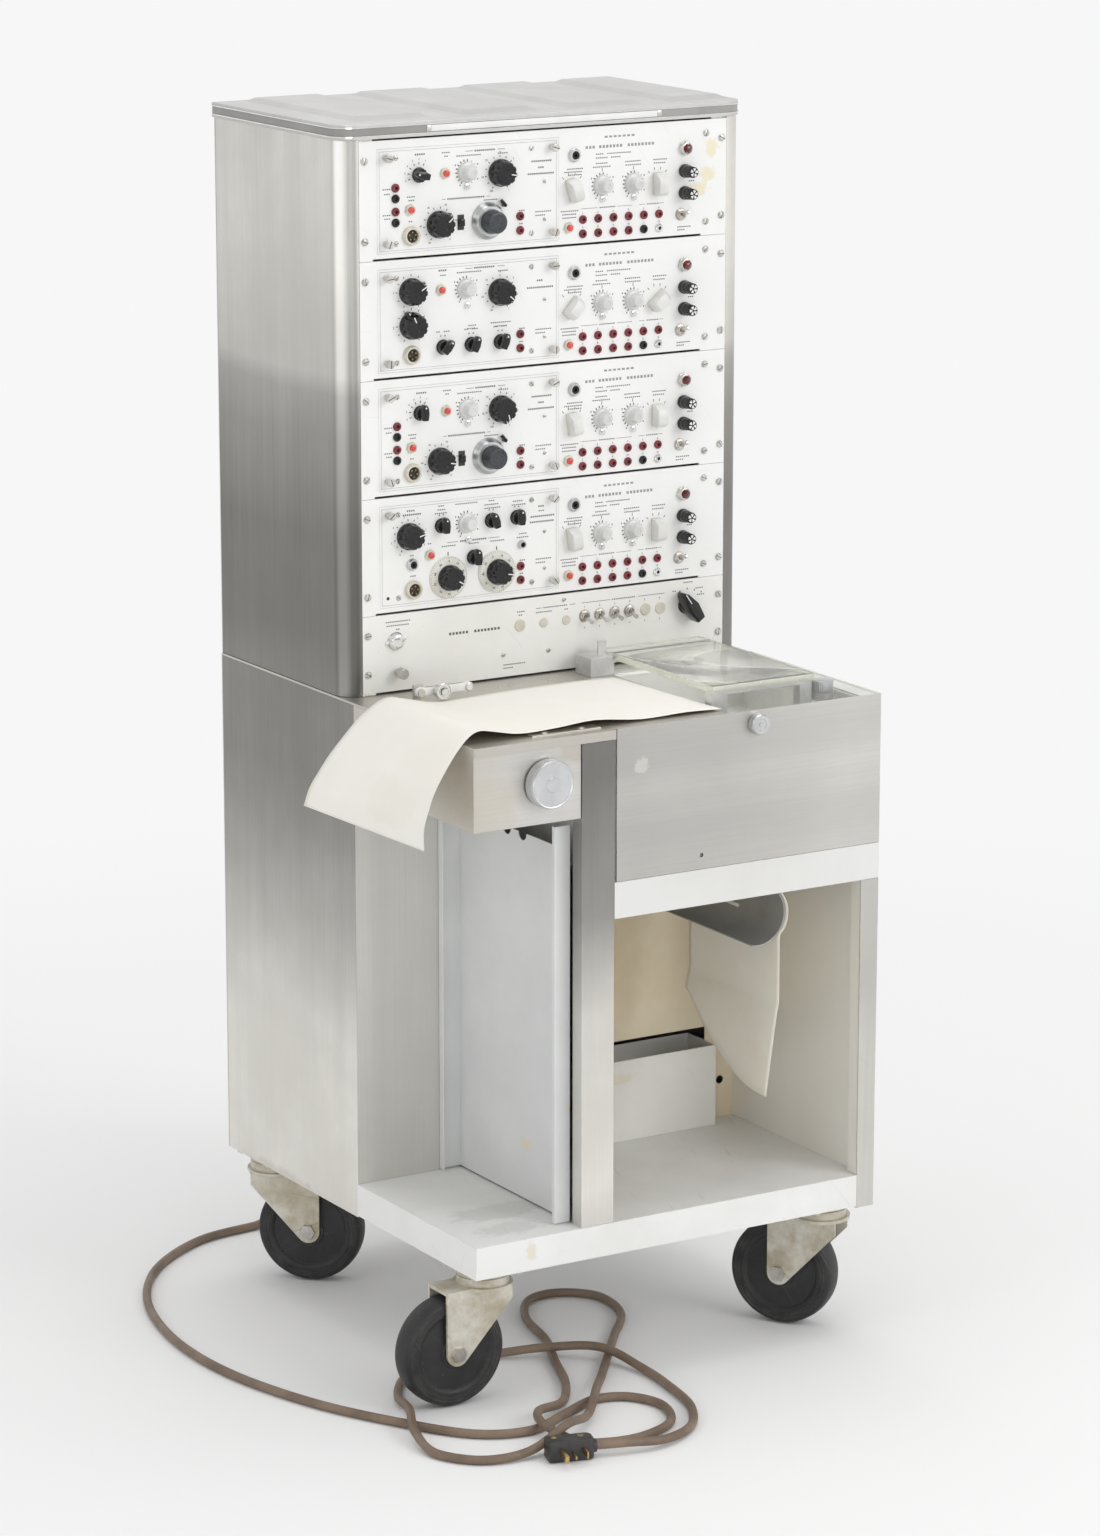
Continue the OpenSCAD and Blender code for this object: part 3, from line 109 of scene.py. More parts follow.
class Group(Net):
    """A shared effect as a node group: a Vector and these inputs go in, masks or a Color come out."""

    def __init__(self, name, *outputs, **inputs):
        super().__init__(bpy.data.node_groups.new(name, "ShaderNodeTree"))
        for label, default in {"Vector": (0.0, 0.0, 0.0), **inputs}.items():
            kind = "Float" if isinstance(default, float) else "Vector" if len(default) == 3 else "Color"
            self.socket(label, "INPUT", kind).default_value = default
        for label in outputs:
            self.socket(label, "OUTPUT", "Color" if label == "Color" else "Float")
        self.given = self.tree.nodes.new("NodeGroupInput").outputs
        self.place = self.given["Vector"]
        self.result = self.tree.nodes.new("NodeGroupOutput").inputs

    def socket(self, label, way, kind):
        return self.tree.interface.new_socket(label, in_out=way, socket_type="NodeSocket" + kind)

    def give(self, **results):
        for label, socket in results.items():
            self.tree.links.new(socket, self.result[label])
        return self.tree


def make_mottle():
    """Soft cloudy variation between two colours."""
    group = Group("mottle", "Color", Scale=6.0, Light=WHITE, Dark=(0.5, 0.5, 0.5, 1), Spread=0.18)
    given = group.given
    low, high = (group.math(way, 0.5, given["Spread"]) for way in ("SUBTRACT", "ADD"))
    mask = group.ramp(group.noise(group.place, given["Scale"], 5.0, 0.62), low, high, kind="SMOOTHSTEP")
    return group.give(Color=group.mix(mask, given["Dark"], given["Light"]))


def make_brushing():
    """Fine parallel brush lines, stretched by a vector of line densities."""
    group = Group("brushing", "Lines", "Bands", Density=(400.0, 400.0, 6.0))
    fine = group.vector("MULTIPLY", group.place, group.given["Density"])
    wide = group.vector("SCALE", fine, Scale=0.07)
    return group.give(Lines=group.noise(fine, 1.0, 3.0, 0.7), Bands=group.noise(wide, 1.0, 2.0))


def make_edge_wear():
    """A mask that is 1 along worn outer edges, broken up by noise."""
    group = Group("edge_wear", "Mask", Reach=0.0012, Amount=1.0)
    eased = group.put("Bevel", {"samples": 4}, {"Radius": group.given["Reach"]}).outputs[0]
    plain = group.put("NewGeometry").outputs["Normal"]
    edge = group.ramp(group.vector("DOT_PRODUCT", eased, plain), 0.985, 0.8)
    broken = group.ramp(group.noise(group.place, 55.0, 4.0), 0.38, 0.62)
    return group.give(Mask=group.math("MULTIPLY", group.math("MULTIPLY", edge, broken), group.given["Amount"]))


def make_scuffs():
    """Sparse thin scratches and small dark specks."""
    group = Group("scuffs", "Mask", Amount=1.0)
    marks = group.ramp(group.noise(group.place, 160.0, 1.0), 0.76, 0.79)
    for turn, density in ((0.5, 5.0), (-0.9, 4.0), (1.3, 6.0)):
        spun = group.put("VectorRotate", {"rotation_type": "EULER_XYZ"},
                         {"Vector": group.place, "Rotation": (turn, turn * 0.7, turn)}).outputs[0]
        thin = group.vector("MULTIPLY", spun, (density * 90, density * 2.2, density * 2.2))
        marks = group.math("MAXIMUM", marks, group.ramp(group.noise(thin, 1.0, 1.0), 0.74, 0.8))
    return group.give(Mask=group.math("MULTIPLY", marks, group.given["Amount"]))


def make_stain():
    """A ragged patch round a point, such as old tape or a water mark."""
    group = Group("stain", "Mask", Centre=(0.0, 0.0, 0.0), Stretch=(1.0, 1.0, 1.0), Radius=0.02, Grain=60.0)
    given = group.given
    away = group.vector("MULTIPLY", group.vector("SUBTRACT", group.place, given["Centre"]), given["Stretch"])
    share = group.math("DIVIDE", group.vector("LENGTH", away), given["Radius"])
    rough = group.math("MULTIPLY_ADD", group.noise(group.place, given["Grain"], 4.0, 0.6), 1.6, share)
    return group.give(Mask=group.ramp(rough, 1.75, 1.35, kind="SMOOTHSTEP"))


EFFECTS = {"mottle": make_mottle(), "brushing": make_brushing(), "edge_wear": make_edge_wear(),
           "scuffs": make_scuffs(), "stain": make_stain()}


def rgba(colour):
    return (*colour, 1.0)


SHEET_INSIDE = 0.2655
# The brightest level of the painted reflection zones.
PAINTED_LIGHT_MAX = 1.5
GLUE = (0.80, 0.70, 0.40)


class Finish(Net):
    """A surface finish: one shader and what feeds it, clouded between a light and a dark colour."""

    def __init__(self, name, light, dark, scale, roughness, metallic=0.0, spread=0.18, **shader):
        self.material = bpy.data.materials.new(name)
        self.material.use_nodes = True
        super().__init__(self.material.node_tree)
        self.shader = self.tree.nodes["Principled BSDF"]
        self.inputs = self.shader.inputs
        self.roughness, self.metallic = roughness, metallic
        for key, value in {"Base Color": rgba(light), "Roughness": roughness, "Metallic": metallic, **shader}.items():
            self.inputs[key.replace("_", " ")].default_value = value
        self.place = self.put("TexCoord").outputs["Object"]
        self.colour = self.use("mottle", Scale=scale, Light=rgba(light), Dark=rgba(dark), Spread=spread)["Color"]

    def use(self, effect, **inputs):
        """Adds a shared effect, placed on this surface."""
        return self.put("Group", {"node_tree": EFFECTS[effect]}, {"Vector": self.place, **inputs}).outputs

    def feed(self, shader_input, socket):
        self.tree.links.new(socket, self.inputs[shader_input])

    def over(self, mask, colour, strength=1.0):
        """Lays another colour over the finish where the mask is 1."""
        if strength != 1.0:
            mask = self.math("MULTIPLY", mask, strength)
        self.colour = self.mix(mask, self.colour, rgba(colour))
        return self

    def textured(self, height, strength, distance, spread):
        """The same pattern in the height and the roughness."""
        low = max(0.02, self.roughness - spread)
        self.feed("Roughness", self.ramp(height, 0.3, 0.7, low, self.roughness + spread))
        bump = self.put("Bump", {}, {"Height": height, "Strength": strength, "Distance": distance})
        self.feed("Normal", bump.outputs[0])
        return self

    def brushed(self, density, tint):
        """Brush lines in the colour, the roughness and the height."""
        lines = self.use("brushing", Density=density)
        self.over(self.ramp(lines["Bands"], 0.36, 0.64), tint, 0.5)
        self.over(self.ramp(lines["Lines"], 0.4, 0.7), tint, 0.35)
        return self.textured(lines["Lines"], 0.16, 0.0002, 0.06)

    def grainy(self, scale, strength, distance=0.0005):
        return self.textured(self.noise(self.place, scale, 3.0), strength, distance, 0.06)

    def worn(self, colour, reach=0.0012, amount=0.8):
        return self.over(self.use("edge_wear", Reach=reach, Amount=amount)["Mask"], colour)

    def scuffed(self, colour, amount=0.5):
        return self.over(self.use("scuffs", Amount=amount)["Mask"], colour)

    def stained(self, colour, centre, radius, stretch=(1, 1, 1), grain=60.0, strength=1.0):
        stain = self.use("stain", Centre=centre, Radius=radius, Stretch=stretch, Grain=grain)
        return self.over(stain["Mask"], colour, strength)

    def zoned(self, steps, axis="Z", warp=0.0, outside=None):
        """Painted reflections and shade: broad light and dark zones along one axis, as [metres, brightness], only this
        far from the middle.
        """
        axes = self.put("SeparateXYZ", {}, {0: self.place}).outputs
        at = axes[axis]
        if warp:
            at = self.math("MULTIPLY_ADD", self.noise(self.place, 3.0, 2.0), warp, at)
        low, high = steps[0][0], steps[-1][0]
        ramp = self.put("ValToRGB", {}, {0: self.ramp(at, low, high)})
        stops = ramp.color_ramp.elements
        while len(stops) < len(steps):
            stops.new(0.5)
        for stop, (place, level) in zip(stops, steps):
            stop.position = (place - low) / (high - low)
            stop.color = rgba([level / PAINTED_LIGHT_MAX] * 3)
        painted_light_levels = self.vector("SCALE", ramp.outputs[0], Scale=PAINTED_LIGHT_MAX)
        amount = self.math("GREATER_THAN", self.math("ABSOLUTE", axes["X"]), outside) if outside else 1.0
        self.colour = self.mix(amount, self.colour, painted_light_levels, blend_type="MULTIPLY", clamp_result=True)
        return self

    def inner(self, colour, metallic, edge=SHEET_INSIDE):
        """Matt liner colour on the inner faces, nearer the middle than the outer sheet: partly the liner's own colour,
        partly painted light, full on the lit right inner wall and about a third as strong on the left.
        """
        axes = self.put("SeparateXYZ", {}, {0: self.place}).outputs
        near = self.math("LESS_THAN", self.math("ABSOLUTE", axes["X"]), edge)
        painted_light_share = self.ramp(axes["X"], -0.1, 0.1, 0.35)
        behind = self.math("GREATER_THAN", axes["Y"], -0.2905)
        both = self.math("MULTIPLY", self.math("MULTIPLY", near, painted_light_share), behind)
        self.over(both, colour, 0.85)
        self.feed("Metallic", self.ramp(both, 0.0, 1.0, self.metallic, metallic))
        return self

    def done(self):
        self.feed("Base Color", self.colour)
        return self.material


# Finishes

UPRIGHT = (420.0, 420.0, 5.0)
LEVEL = (8.0, 300.0, 300.0)


def brushed_sheet(name, light, dark, density=UPRIGHT, roughness=0.42, metallic=0.9):
    return (Finish(name, light, dark, 3.2, roughness, metallic, 0.2).brushed(density, [0.78 * c for c in light])
            .worn((0.86, 0.85, 0.83), 0.0014, 0.5).scuffed((0.46, 0.45, 0.43), 0.12))


def ink(name, light, dark, scale=200.0):
    return Finish(name, light, dark, scale, 0.5).grainy(1500.0, 0.05)


def make_finishes():
    """Every finish, by a short name."""
    enamel_wear = ((0.62, 0.61, 0.58), 0.001, 0.6)
    made = dict(
        # The sides carry painted reflections: lighter low down, darkening in bands towards the top.
        side=brushed_sheet("side_brushing_painted_reflections", (0.70, 0.685, 0.645), (0.55, 0.535, 0.495))
        .zoned([(0.155, 1.36), (0.38, 1.30), (0.457, 1.18), (0.55, 0.88), (0.617, 0.72), (0.70, 0.52), (0.76, 0.43)],
               "Z", 0.2, SHEET_INSIDE)
        .stained((0.50, 0.46, 0.40), (-0.2665, 0.16, 0.152), 0.03, (1, 0.3, 2), 40.0, 0.35)
        .stained((0.46, 0.40, 0.30), (-0.262, -0.2925, 0.70), 0.03, (1, 1, 0.4), 40.0, 0.35)
        # Inner faces: a pale liner colour, partly painted light in the bays.
        .inner((0.91, 0.895, 0.845), 0.2),
        # The post carries painted reflections: brightest about 0.28 m up, darkening from 0.48 m to the top.
        post=brushed_sheet("post_brushing_painted_reflections", (0.62, 0.605, 0.57), (0.49, 0.475, 0.44))
        .zoned([(0.19, 1.2), (0.28, 1.5), (0.48, 1.3), (0.60, 0.62), (0.76, 0.42)], "Z", 0.1),
        # The cover carries painted light: darker on its left, lighter towards the right.
        cover=brushed_sheet("cover_brushing_painted_light", (0.62, 0.605, 0.575), (0.54, 0.525, 0.495), (6.0, 400.0, 300.0))
        .zoned([(-0.09, 0.92), (0.05, 0.97), (0.18, 1.08), (0.262, 1.14)], "X", 0.08)
        .stained((0.80, 0.78, 0.70), (-0.053, -0.2925, 0.7165), 0.011, (1, 1, 1), 120.0, 0.45),
        well=brushed_sheet("well_brushing", (0.82, 0.82, 0.79), (0.74, 0.735, 0.70), (6.0, 300.0, 300.0), 0.46, 0.5),
        drive=brushed_sheet("drive_box_brushing", (0.70, 0.685, 0.66), (0.60, 0.58, 0.54), LEVEL, 0.46)
        .stained((0.60, 0.54, 0.43), (-0.2665, -0.17, 0.70), 0.11, (1, 0.6, 1), 12.0, 0.4)
        .stained((0.50, 0.45, 0.36), (-0.14, -0.2925, 0.745), 0.022, (1, 1, 1), 40.0, 0.4),
        deck=brushed_sheet("deck_brushing", (0.66, 0.635, 0.585), (0.54, 0.51, 0.455), LEVEL, 0.4),
        # The shell carries painted reflections: dark bands low on it, lighter towards the top, and along X a painted
        # highlight streak down the rounded front corner with painted shade beside it.
        shell=brushed_sheet("upper_shell_brushing_painted_reflections", (0.68, 0.665, 0.63), (0.55, 0.535, 0.50))
        .zoned([(0.762, 0.47), (0.84, 0.38), (0.96, 0.37), (1.08, 0.56), (1.128, 0.72), (1.15, 1.02), (1.28, 1.22),
                (1.386, 1.24)], "Z", 0.05)
        .zoned([(-0.2656, 1.0), (-0.2648, 0.86), (-0.2630, 1.45), (-0.2585, 1.45), (-0.2535, 0.62), (-0.2460, 0.66),
                (-0.2425, 1.05)], "X"),
        back=brushed_sheet("back_brushing", (0.66, 0.655, 0.63), (0.56, 0.555, 0.53)),
        writer=Finish("writer_panel_enamel", (0.87, 0.865, 0.83), (0.81, 0.80, 0.76), 5.0, 0.36)
        .worn(*enamel_wear).scuffed((0.55, 0.54, 0.51), 0.15).grainy(900.0, 0.06),
        panel=Finish("panel_enamel", (0.88, 0.88, 0.87), (0.84, 0.84, 0.825), 4.0, 0.34)
        .worn(*enamel_wear).scuffed((0.60, 0.59, 0.56), 0.15).grainy(900.0, 0.06)
        .stained(GLUE, (0.222, -0.0025, 1.351), 0.011, (1, 1, 0.8), 150.0, 0.6)
        .stained(GLUE, (0.216, -0.0025, 1.322), 0.011, (0.9, 1, 0.9), 150.0, 0.6)
        .stained(GLUE, (0.205, -0.0025, 1.305), 0.011, (0.7, 1, 1.2), 150.0, 0.6),
        tray=Finish("tray_paint", (0.85, 0.85, 0.835), (0.77, 0.77, 0.75), 6.0, 0.46)
        .worn((0.50, 0.49, 0.46), 0.0016, 0.6).scuffed((0.46, 0.45, 0.43), 0.2).grainy(500.0, 0.1)
        .stained((0.42, 0.41, 0.39), (-0.17, -0.19, 0.1945), 0.05, (0.6, 1.6, 1), 50.0, 0.3)
        .stained((0.45, 0.44, 0.42), (-0.20, -0.25, 0.1945), 0.035, (0.7, 1.4, 1), 70.0, 0.3)
        .stained((0.72, 0.64, 0.44), (-0.195, -0.2925, 0.180), 0.008, (1, 1, 0.6), 120.0, 0.5),
        shelf=Finish("shelf_paint", (0.745, 0.745, 0.73), (0.69, 0.685, 0.66), 4.0, 0.42)
        .worn((0.55, 0.54, 0.51), 0.0014, 0.5).scuffed((0.6, 0.59, 0.56), 0.12).grainy(600.0, 0.06),
        bin=Finish("bin_paint", (0.87, 0.86, 0.82), (0.80, 0.79, 0.74), 5.0, 0.45)
        .worn((0.5, 0.49, 0.46), 0.0014, 0.6).scuffed((0.5, 0.49, 0.47), 0.2).grainy(500.0, 0.08)
        .stained((0.78, 0.70, 0.48), (0.075, -0.044, 0.272), 0.012, (0.5, 1, 1.3), 110.0, 0.45),
        tan=Finish("bulkhead_metal", (0.86, 0.77, 0.60), (0.74, 0.62, 0.43), 4.0, 0.5, 0.2)
        .worn((0.84, 0.80, 0.72), 0.0014, 0.4).grainy(300.0, 0.1)
        .stained((0.58, 0.49, 0.36), (-0.02, -0.018, 0.40), 0.12, (1, 1, 0.6), 14.0, 0.4),
        chute=Finish("chute_metal", (0.76, 0.77, 0.765), (0.66, 0.67, 0.67), 3.5, 0.40, 0.1)
        .worn((0.88, 0.88, 0.88), 0.0014, 0.5).scuffed((0.56, 0.56, 0.56), 0.15).grainy(400.0, 0.06)
        .stained((0.78, 0.66, 0.36), (-0.131, -0.262, 0.330), 0.006, (1, 0.5, 1.2), 160.0, 0.6)
        .stained((0.78, 0.66, 0.36), (-0.131, -0.175, 0.262), 0.008, (1, 0.5, 1.2), 160.0, 0.6),
        trough=Finish("trough_metal", (0.48, 0.485, 0.48), (0.34, 0.345, 0.34), 5.0, 0.4, 0.5)
        .worn((0.7, 0.7, 0.69), 0.001, 0.8).grainy(400.0, 0.08),
        lid=Finish("lid_metal", (0.60, 0.595, 0.58), (0.545, 0.54, 0.525), 14.0, 0.40, 0.5, 0.2)
        .worn((0.84, 0.84, 0.83), 0.0012, 0.6).scuffed((0.5, 0.5, 0.49), 0.2).grainy(420.0, 0.12),
        grey_band=Finish("lid_band_grey", (0.35, 0.345, 0.33), (0.27, 0.265, 0.25), 9.0, 0.4).grainy(700.0, 0.06),
        strip=Finish("bare_strip", (0.84, 0.84, 0.83), (0.78, 0.78, 0.77), 20.0, 0.35).grainy(900.0, 0.04),
        plated=Finish("dull_plating", (0.72, 0.70, 0.665), (0.52, 0.50, 0.46), 60.0, 0.32, 1.0)
        .worn((0.8, 0.78, 0.74), 0.0004, 0.6).grainy(900.0, 0.12),
        chrome=Finish("bright_chrome", (0.82, 0.82, 0.82), (0.70, 0.70, 0.69), 40.0, 0.14, 1.0).grainy(600.0, 0.05),
        cast=Finish("cast_metal", (0.70, 0.70, 0.69), (0.58, 0.58, 0.57), 30.0, 0.5, 0.8)
        .worn((0.85, 0.85, 0.84), 0.001, 0.7).grainy(700.0, 0.35),
        turned=Finish("turned_metal", (0.66, 0.67, 0.675), (0.56, 0.57, 0.575), 20.0, 0.33, 0.95)
        .worn((0.86, 0.86, 0.86), 0.0008, 0.5).grainy(1200.0, 0.08),
        knob_face=Finish("brushed_knob_face", (0.70, 0.71, 0.715), (0.60, 0.61, 0.615), 30.0, 0.34, 0.9,
                         Anisotropic=0.6)
        .grainy(900.0, 0.05),
        zinc=Finish("castor_zinc", (0.76, 0.745, 0.67), (0.44, 0.38, 0.27), 22.0, 0.42, 0.4, 0.2)
        .worn((0.45, 0.36, 0.24), 0.0016, 0.8).scuffed((0.34, 0.26, 0.17), 0.5).grainy(260.0, 0.2),
        brass=Finish("brass", (0.68, 0.48, 0.22), (0.36, 0.23, 0.11), 90.0, 0.35, 1.0).grainy(900.0, 0.1),
        tyre=Finish("tyre_rubber", (0.026, 0.026, 0.027), (0.014, 0.014, 0.016), 16.0, 0.5)
        .worn((0.13, 0.12, 0.10), 0.0025, 0.8).scuffed((0.14, 0.12, 0.10), 0.4).grainy(300.0, 0.25),
        lead=Finish("lead_rubber", (0.24, 0.175, 0.125), (0.16, 0.112, 0.078), 18.0, 0.5)
        .scuffed((0.36, 0.31, 0.25), 0.3).grainy(700.0, 0.2),
        plug=Finish("plug_moulding", (0.045, 0.043, 0.042), (0.018, 0.018, 0.018), 40.0, 0.42)
        .worn((0.16, 0.15, 0.14), 0.0012, 0.8).grainy(500.0, 0.2),
        black=Finish("knob_moulding", (0.013, 0.013, 0.014), (0.008, 0.008, 0.009), 60.0, 0.16, Specular_IOR_Level=0.35,
                     Coat_Weight=0.2, Coat_Roughness=0.05).worn((0.05, 0.05, 0.05), 0.0005, 0.3).grainy(500.0, 0.02),
        ten=Finish("dial_knob_moulding", (0.05, 0.056, 0.064), (0.026, 0.03, 0.036), 60.0, 0.3)
        .worn((0.16, 0.17, 0.18), 0.0006, 0.6).grainy(700.0, 0.06),
        # Near black: the sockets' own insulator, and painted shade in jack bores, screw slots and the empty screw hole.
        dark=Finish("dark_insulator_and_recess_shade", (0.04, 0.033, 0.028), (0.018, 0.015, 0.013), 90.0, 0.5).grainy(600.0, 0.1),
        red=Finish("jack_red", (0.25, 0.035, 0.045), (0.14, 0.02, 0.026), 120.0, 0.32)
        .worn((0.4, 0.1, 0.1), 0.0004, 0.6).grainy(900.0, 0.1),
        button=Finish("button_red", (0.76, 0.085, 0.055), (0.58, 0.045, 0.032), 140.0, 0.22, Coat_Weight=0.3)
        .grainy(900.0, 0.05),
        jewel=Finish("lamp_jewel", (0.20, 0.018, 0.02), (0.06, 0.006, 0.007), 160.0, 0.1, Coat_Weight=0.5)
        .grainy(500.0, 0.03),
        white=Finish("skirt_moulding", (0.70, 0.70, 0.69), (0.60, 0.60, 0.585), 50.0, 0.24, Coat_Weight=0.2)
        .grainy(600.0, 0.05),
        ivory=Finish("lever_moulding", (0.75, 0.75, 0.73), (0.67, 0.665, 0.635), 40.0, 0.34)
        .worn((0.58, 0.56, 0.50), 0.001, 0.4).grainy(600.0, 0.06),
        cream=Finish("cream_moulding", (0.70, 0.665, 0.57), (0.58, 0.54, 0.44), 50.0, 0.4)
        .worn((0.5, 0.46, 0.38), 0.0008, 0.5).grainy(700.0, 0.08),
        skirt_ivory=Finish("numbered_skirt_ivory", (0.79, 0.78, 0.72), (0.71, 0.69, 0.62), 50.0, 0.36)
        .worn((0.56, 0.53, 0.45), 0.0006, 0.4).grainy(700.0, 0.06),
        white_paint=Finish("arm_paint", (0.80, 0.795, 0.77), (0.70, 0.69, 0.66), 40.0, 0.35)
        .worn((0.5, 0.49, 0.47), 0.0008, 0.7).grainy(700.0, 0.08),
        ink=ink("legend_ink", (0.028, 0.028, 0.03), (0.016, 0.016, 0.017), 300.0),
        grey_ink=ink("legend_grey", (0.12, 0.12, 0.125), (0.07, 0.07, 0.075)),
        # Grey for the painted edge shade round the preamplifier sub-panels.
        edge_shade_grey=ink("painted_edge_line_grey", (0.56, 0.57, 0.58), (0.45, 0.46, 0.47)),
        title_ink=ink("title_ink", (0.34, 0.34, 0.35), (0.26, 0.26, 0.27)),
        paper=Finish("paper_face", (0.885, 0.87, 0.82), (0.86, 0.835, 0.765), 6.0, 0.75).grainy(40.0, 0.1, 0.003)
        .stained((0.76, 0.69, 0.54), (-0.325, -0.20, 0.69), 0.035, (1, 0.7, 1), 26.0, 0.15),
        under=Finish("paper_underside", (0.81, 0.76, 0.65), (0.74, 0.68, 0.55), 8.0, 0.8).grainy(900.0, 0.08),
        aged=Finish("aged_paper", (0.95, 0.92, 0.83), (0.90, 0.86, 0.74), 7.0, 0.8).grainy(40.0, 0.1, 0.003),
        acrylic=Finish("clear_acrylic", (0.98, 0.985, 0.96), (0.92, 0.925, 0.88), 30.0, 0.06, Transmission_Weight=0.94,
                       IOR=1.12).scuffed((0.86, 0.87, 0.82), 0.3).grainy(120.0, 0.02),
        acrylic_edge=Finish("acrylic_edge", (0.86, 0.87, 0.78), (0.74, 0.755, 0.64), 30.0, 0.22,
                            Transmission_Weight=0.35, IOR=1.3).grainy(300.0, 0.05))
    return {key: finish.done() for key, finish in made.items()}


# Camera, light and floor

def set_camera():
    data = bpy.data.cameras.new("camera")
    data.lens = 119.64
    data.sensor_width = 36
    data.clip_end = 60
    camera = bpy.data.objects.new("camera", data)
    camera.location = (-2.9739, -4.9112, 2.0079)
    camera.rotation_euler = (radians(90 - 13.33), 0, radians(-31.25))
    scene.collection.objects.link(camera)
    scene.camera = camera


def lamp(name, where, towards, size, power):
    data = bpy.data.lights.new(name, "AREA")
    data.shape = "RECTANGLE"
    data.size, data.size_y = size
    data.energy = power
    lamp_object = linked(name, data)
    lamp_object.location = where
    lamp_object.rotation_euler = (Vector(towards) - Vector(where)).to_track_quat("-Z", "Y").to_euler()


def set_light():
    """Four soft lamps, and a white world that mirrors in the metal as light and dark cards."""
    lamp("front_softbox", (2.2, -4.2, 2.9), (0, 0, 0.8), (2.2, 2.2), 64)
    lamp("side_softbox", (-4.6, -0.6, 2.4), (0, 0, 0.7), (1.6, 2.4), 16)
    lamp("low_softbox", (-2.2, -4.6, 0.7), (0, 0, 0.45), (2.6, 1.0), 21)
    lamp("top_softbox", (0.3, 0.2, 4.2), (0, 0, 0), (2.6, 2.6), 44)
    scene.world = bpy.data.worlds.new("studio")
    scene.world.use_nodes = True
    net = Net(scene.world.node_tree)
    net.tree.nodes.clear()
    rays = net.put("LightPath").outputs
    seen = net.math("MAXIMUM", rays["Is Camera Ray"], rays["Is Transmission Ray"])
    way = net.put("TexCoord").outputs["Generated"]
    cards = net.ramp(net.noise(way, 1.7, 1.0), 0.42, 0.58, -0.34, 0.26, "SMOOTHSTEP")
    contrast = net.math("MULTIPLY_ADD", cards, rays["Is Glossy Ray"], WORLD_LIGHT)
    strength = net.ramp(seen, 0.0, 1.0, contrast, BACKDROP)
    back = net.put("Background", {}, {"Color": WHITE, "Strength": strength})
    net.put("OutputWorld", {}, {"Surface": back.outputs[0]})
    scene.view_settings.view_transform = "Standard"


def lay_floor():
    """A floor that turns into the backdrop's own white away from the console."""
    bm = bmesh.new()
    bmesh.ops.create_grid(bm, x_segments=1, y_segments=1, size=45)
    bmesh.ops.translate(bm, verts=bm.verts, vec=(0, 0, -0.0005))
    mesh = bpy.data.meshes.new("floor")
    bm.to_mesh(mesh)
    bm.free()
    finish = Finish("pale_floor", (0.88, 0.88, 0.88), (0.88, 0.88, 0.88), 1.0, 0.9)
    rays = finish.put("LightPath").outputs
    seen = finish.math("MAXIMUM", rays["Is Camera Ray"], rays["Is Glossy Ray"])
    far = finish.ramp(finish.vector("LENGTH", finish.place), 0.55, 2.6, kind="SMOOTHSTEP")
    glow = finish.put("Emission", {}, {"Color": WHITE, "Strength": BACKDROP})
    mix = finish.put("MixShader", {}, {0: finish.math("MULTIPLY", seen, far), 1: finish.shader.outputs[0],
                                       2: glow.outputs[0]})
    finish.tree.links.new(mix.outputs[0], finish.tree.nodes["Material Output"].inputs["Surface"])
    mesh.materials.append(finish.done())
    linked("floor", mesh)


# Shapes, in millimetres

def closed(bm):
    bmesh.ops.remove_doubles(bm, verts=bm.verts, dist=0.0005)
    bmesh.ops.recalc_face_normals(bm, faces=bm.faces)
    return bm


def lathe(profile, steps=32):
    """A turned shape from a profile of [radius, height], about Z."""
    bm = bmesh.new()
    line = [bm.verts.new((r, 0, z)) for r, z in profile]
    edges = [bm.edges.new(pair) for pair in zip(line, line[1:])]
    bmesh.ops.spin(bm, geom=line + edges, cent=(0, 0, 0), axis=(0, 0, 1), angle=2 * pi, steps=steps, use_merge=True)
    return closed(bm)


def bar(radius, z0, z1, steps=24, edge=0.0):
    """A round bar along Z, with its ends rounded by edge."""
    if edge:
        inner = radius - edge
        return lathe([(0, z0), (inner, z0), (radius, z0 + edge), (radius, z1 - edge), (inner, z1), (0, z1)], steps)
    return lathe([(0, z0), (radius, z0), (radius, z1), (0, z1)], steps)


def rounded(bm, width, segments=2, angle=30):
    """Rounds every edge that is sharper than the angle."""
    sharp = [e for e in bm.edges if e.is_manifold and e.calc_face_angle(0) > radians(angle)]
    bmesh.ops.bevel(bm, geom=sharp, offset=width, offset_type="OFFSET", affect="EDGES", segments=segments, profile=0.5,
                    material=-1, clamp_overlap=True)
    return bm


def prism(outline, z0, z1, edge=0.0):
    """A plate or block with this outline, from z0 to z1."""
    bm = bmesh.new()
    face = bm.faces.new([bm.verts.new((x, y, z0)) for x, y in outline])
    raised = bmesh.ops.extrude_face_region(bm, geom=[face])["geom"]
    bmesh.ops.translate(bm, verts=[v for v in raised if isinstance(v, bmesh.types.BMVert)], vec=(0, 0, z1 - z0))
    bmesh.ops.holes_fill(bm, edges=bm.edges, sides=0)
    closed(bm)
    return rounded(bm, edge) if edge else bm


@cache
def block(low, high, edge=0.0):
    (x0, y0, z0), (x1, y1, z1) = low, high
    return prism([(x0, y0), (x1, y0), (x1, y1), (x0, y1)], z0, z1, edge)


def polygon(radius, sides, turn=0.0):
    return [(radius * cos(2 * pi * k / sides + turn), radius * sin(2 * pi * k / sides + turn)) for k in range(sides)]


def moved(bm, matrix):
    bmesh.ops.transform(bm, matrix=matrix, verts=bm.verts)
    return bm


def shift(x, y, z):
    return Matrix.Translation((x, y, z))


def turned(angle, axis="Z"):
    return Matrix.Rotation(radians(angle), 4, axis)


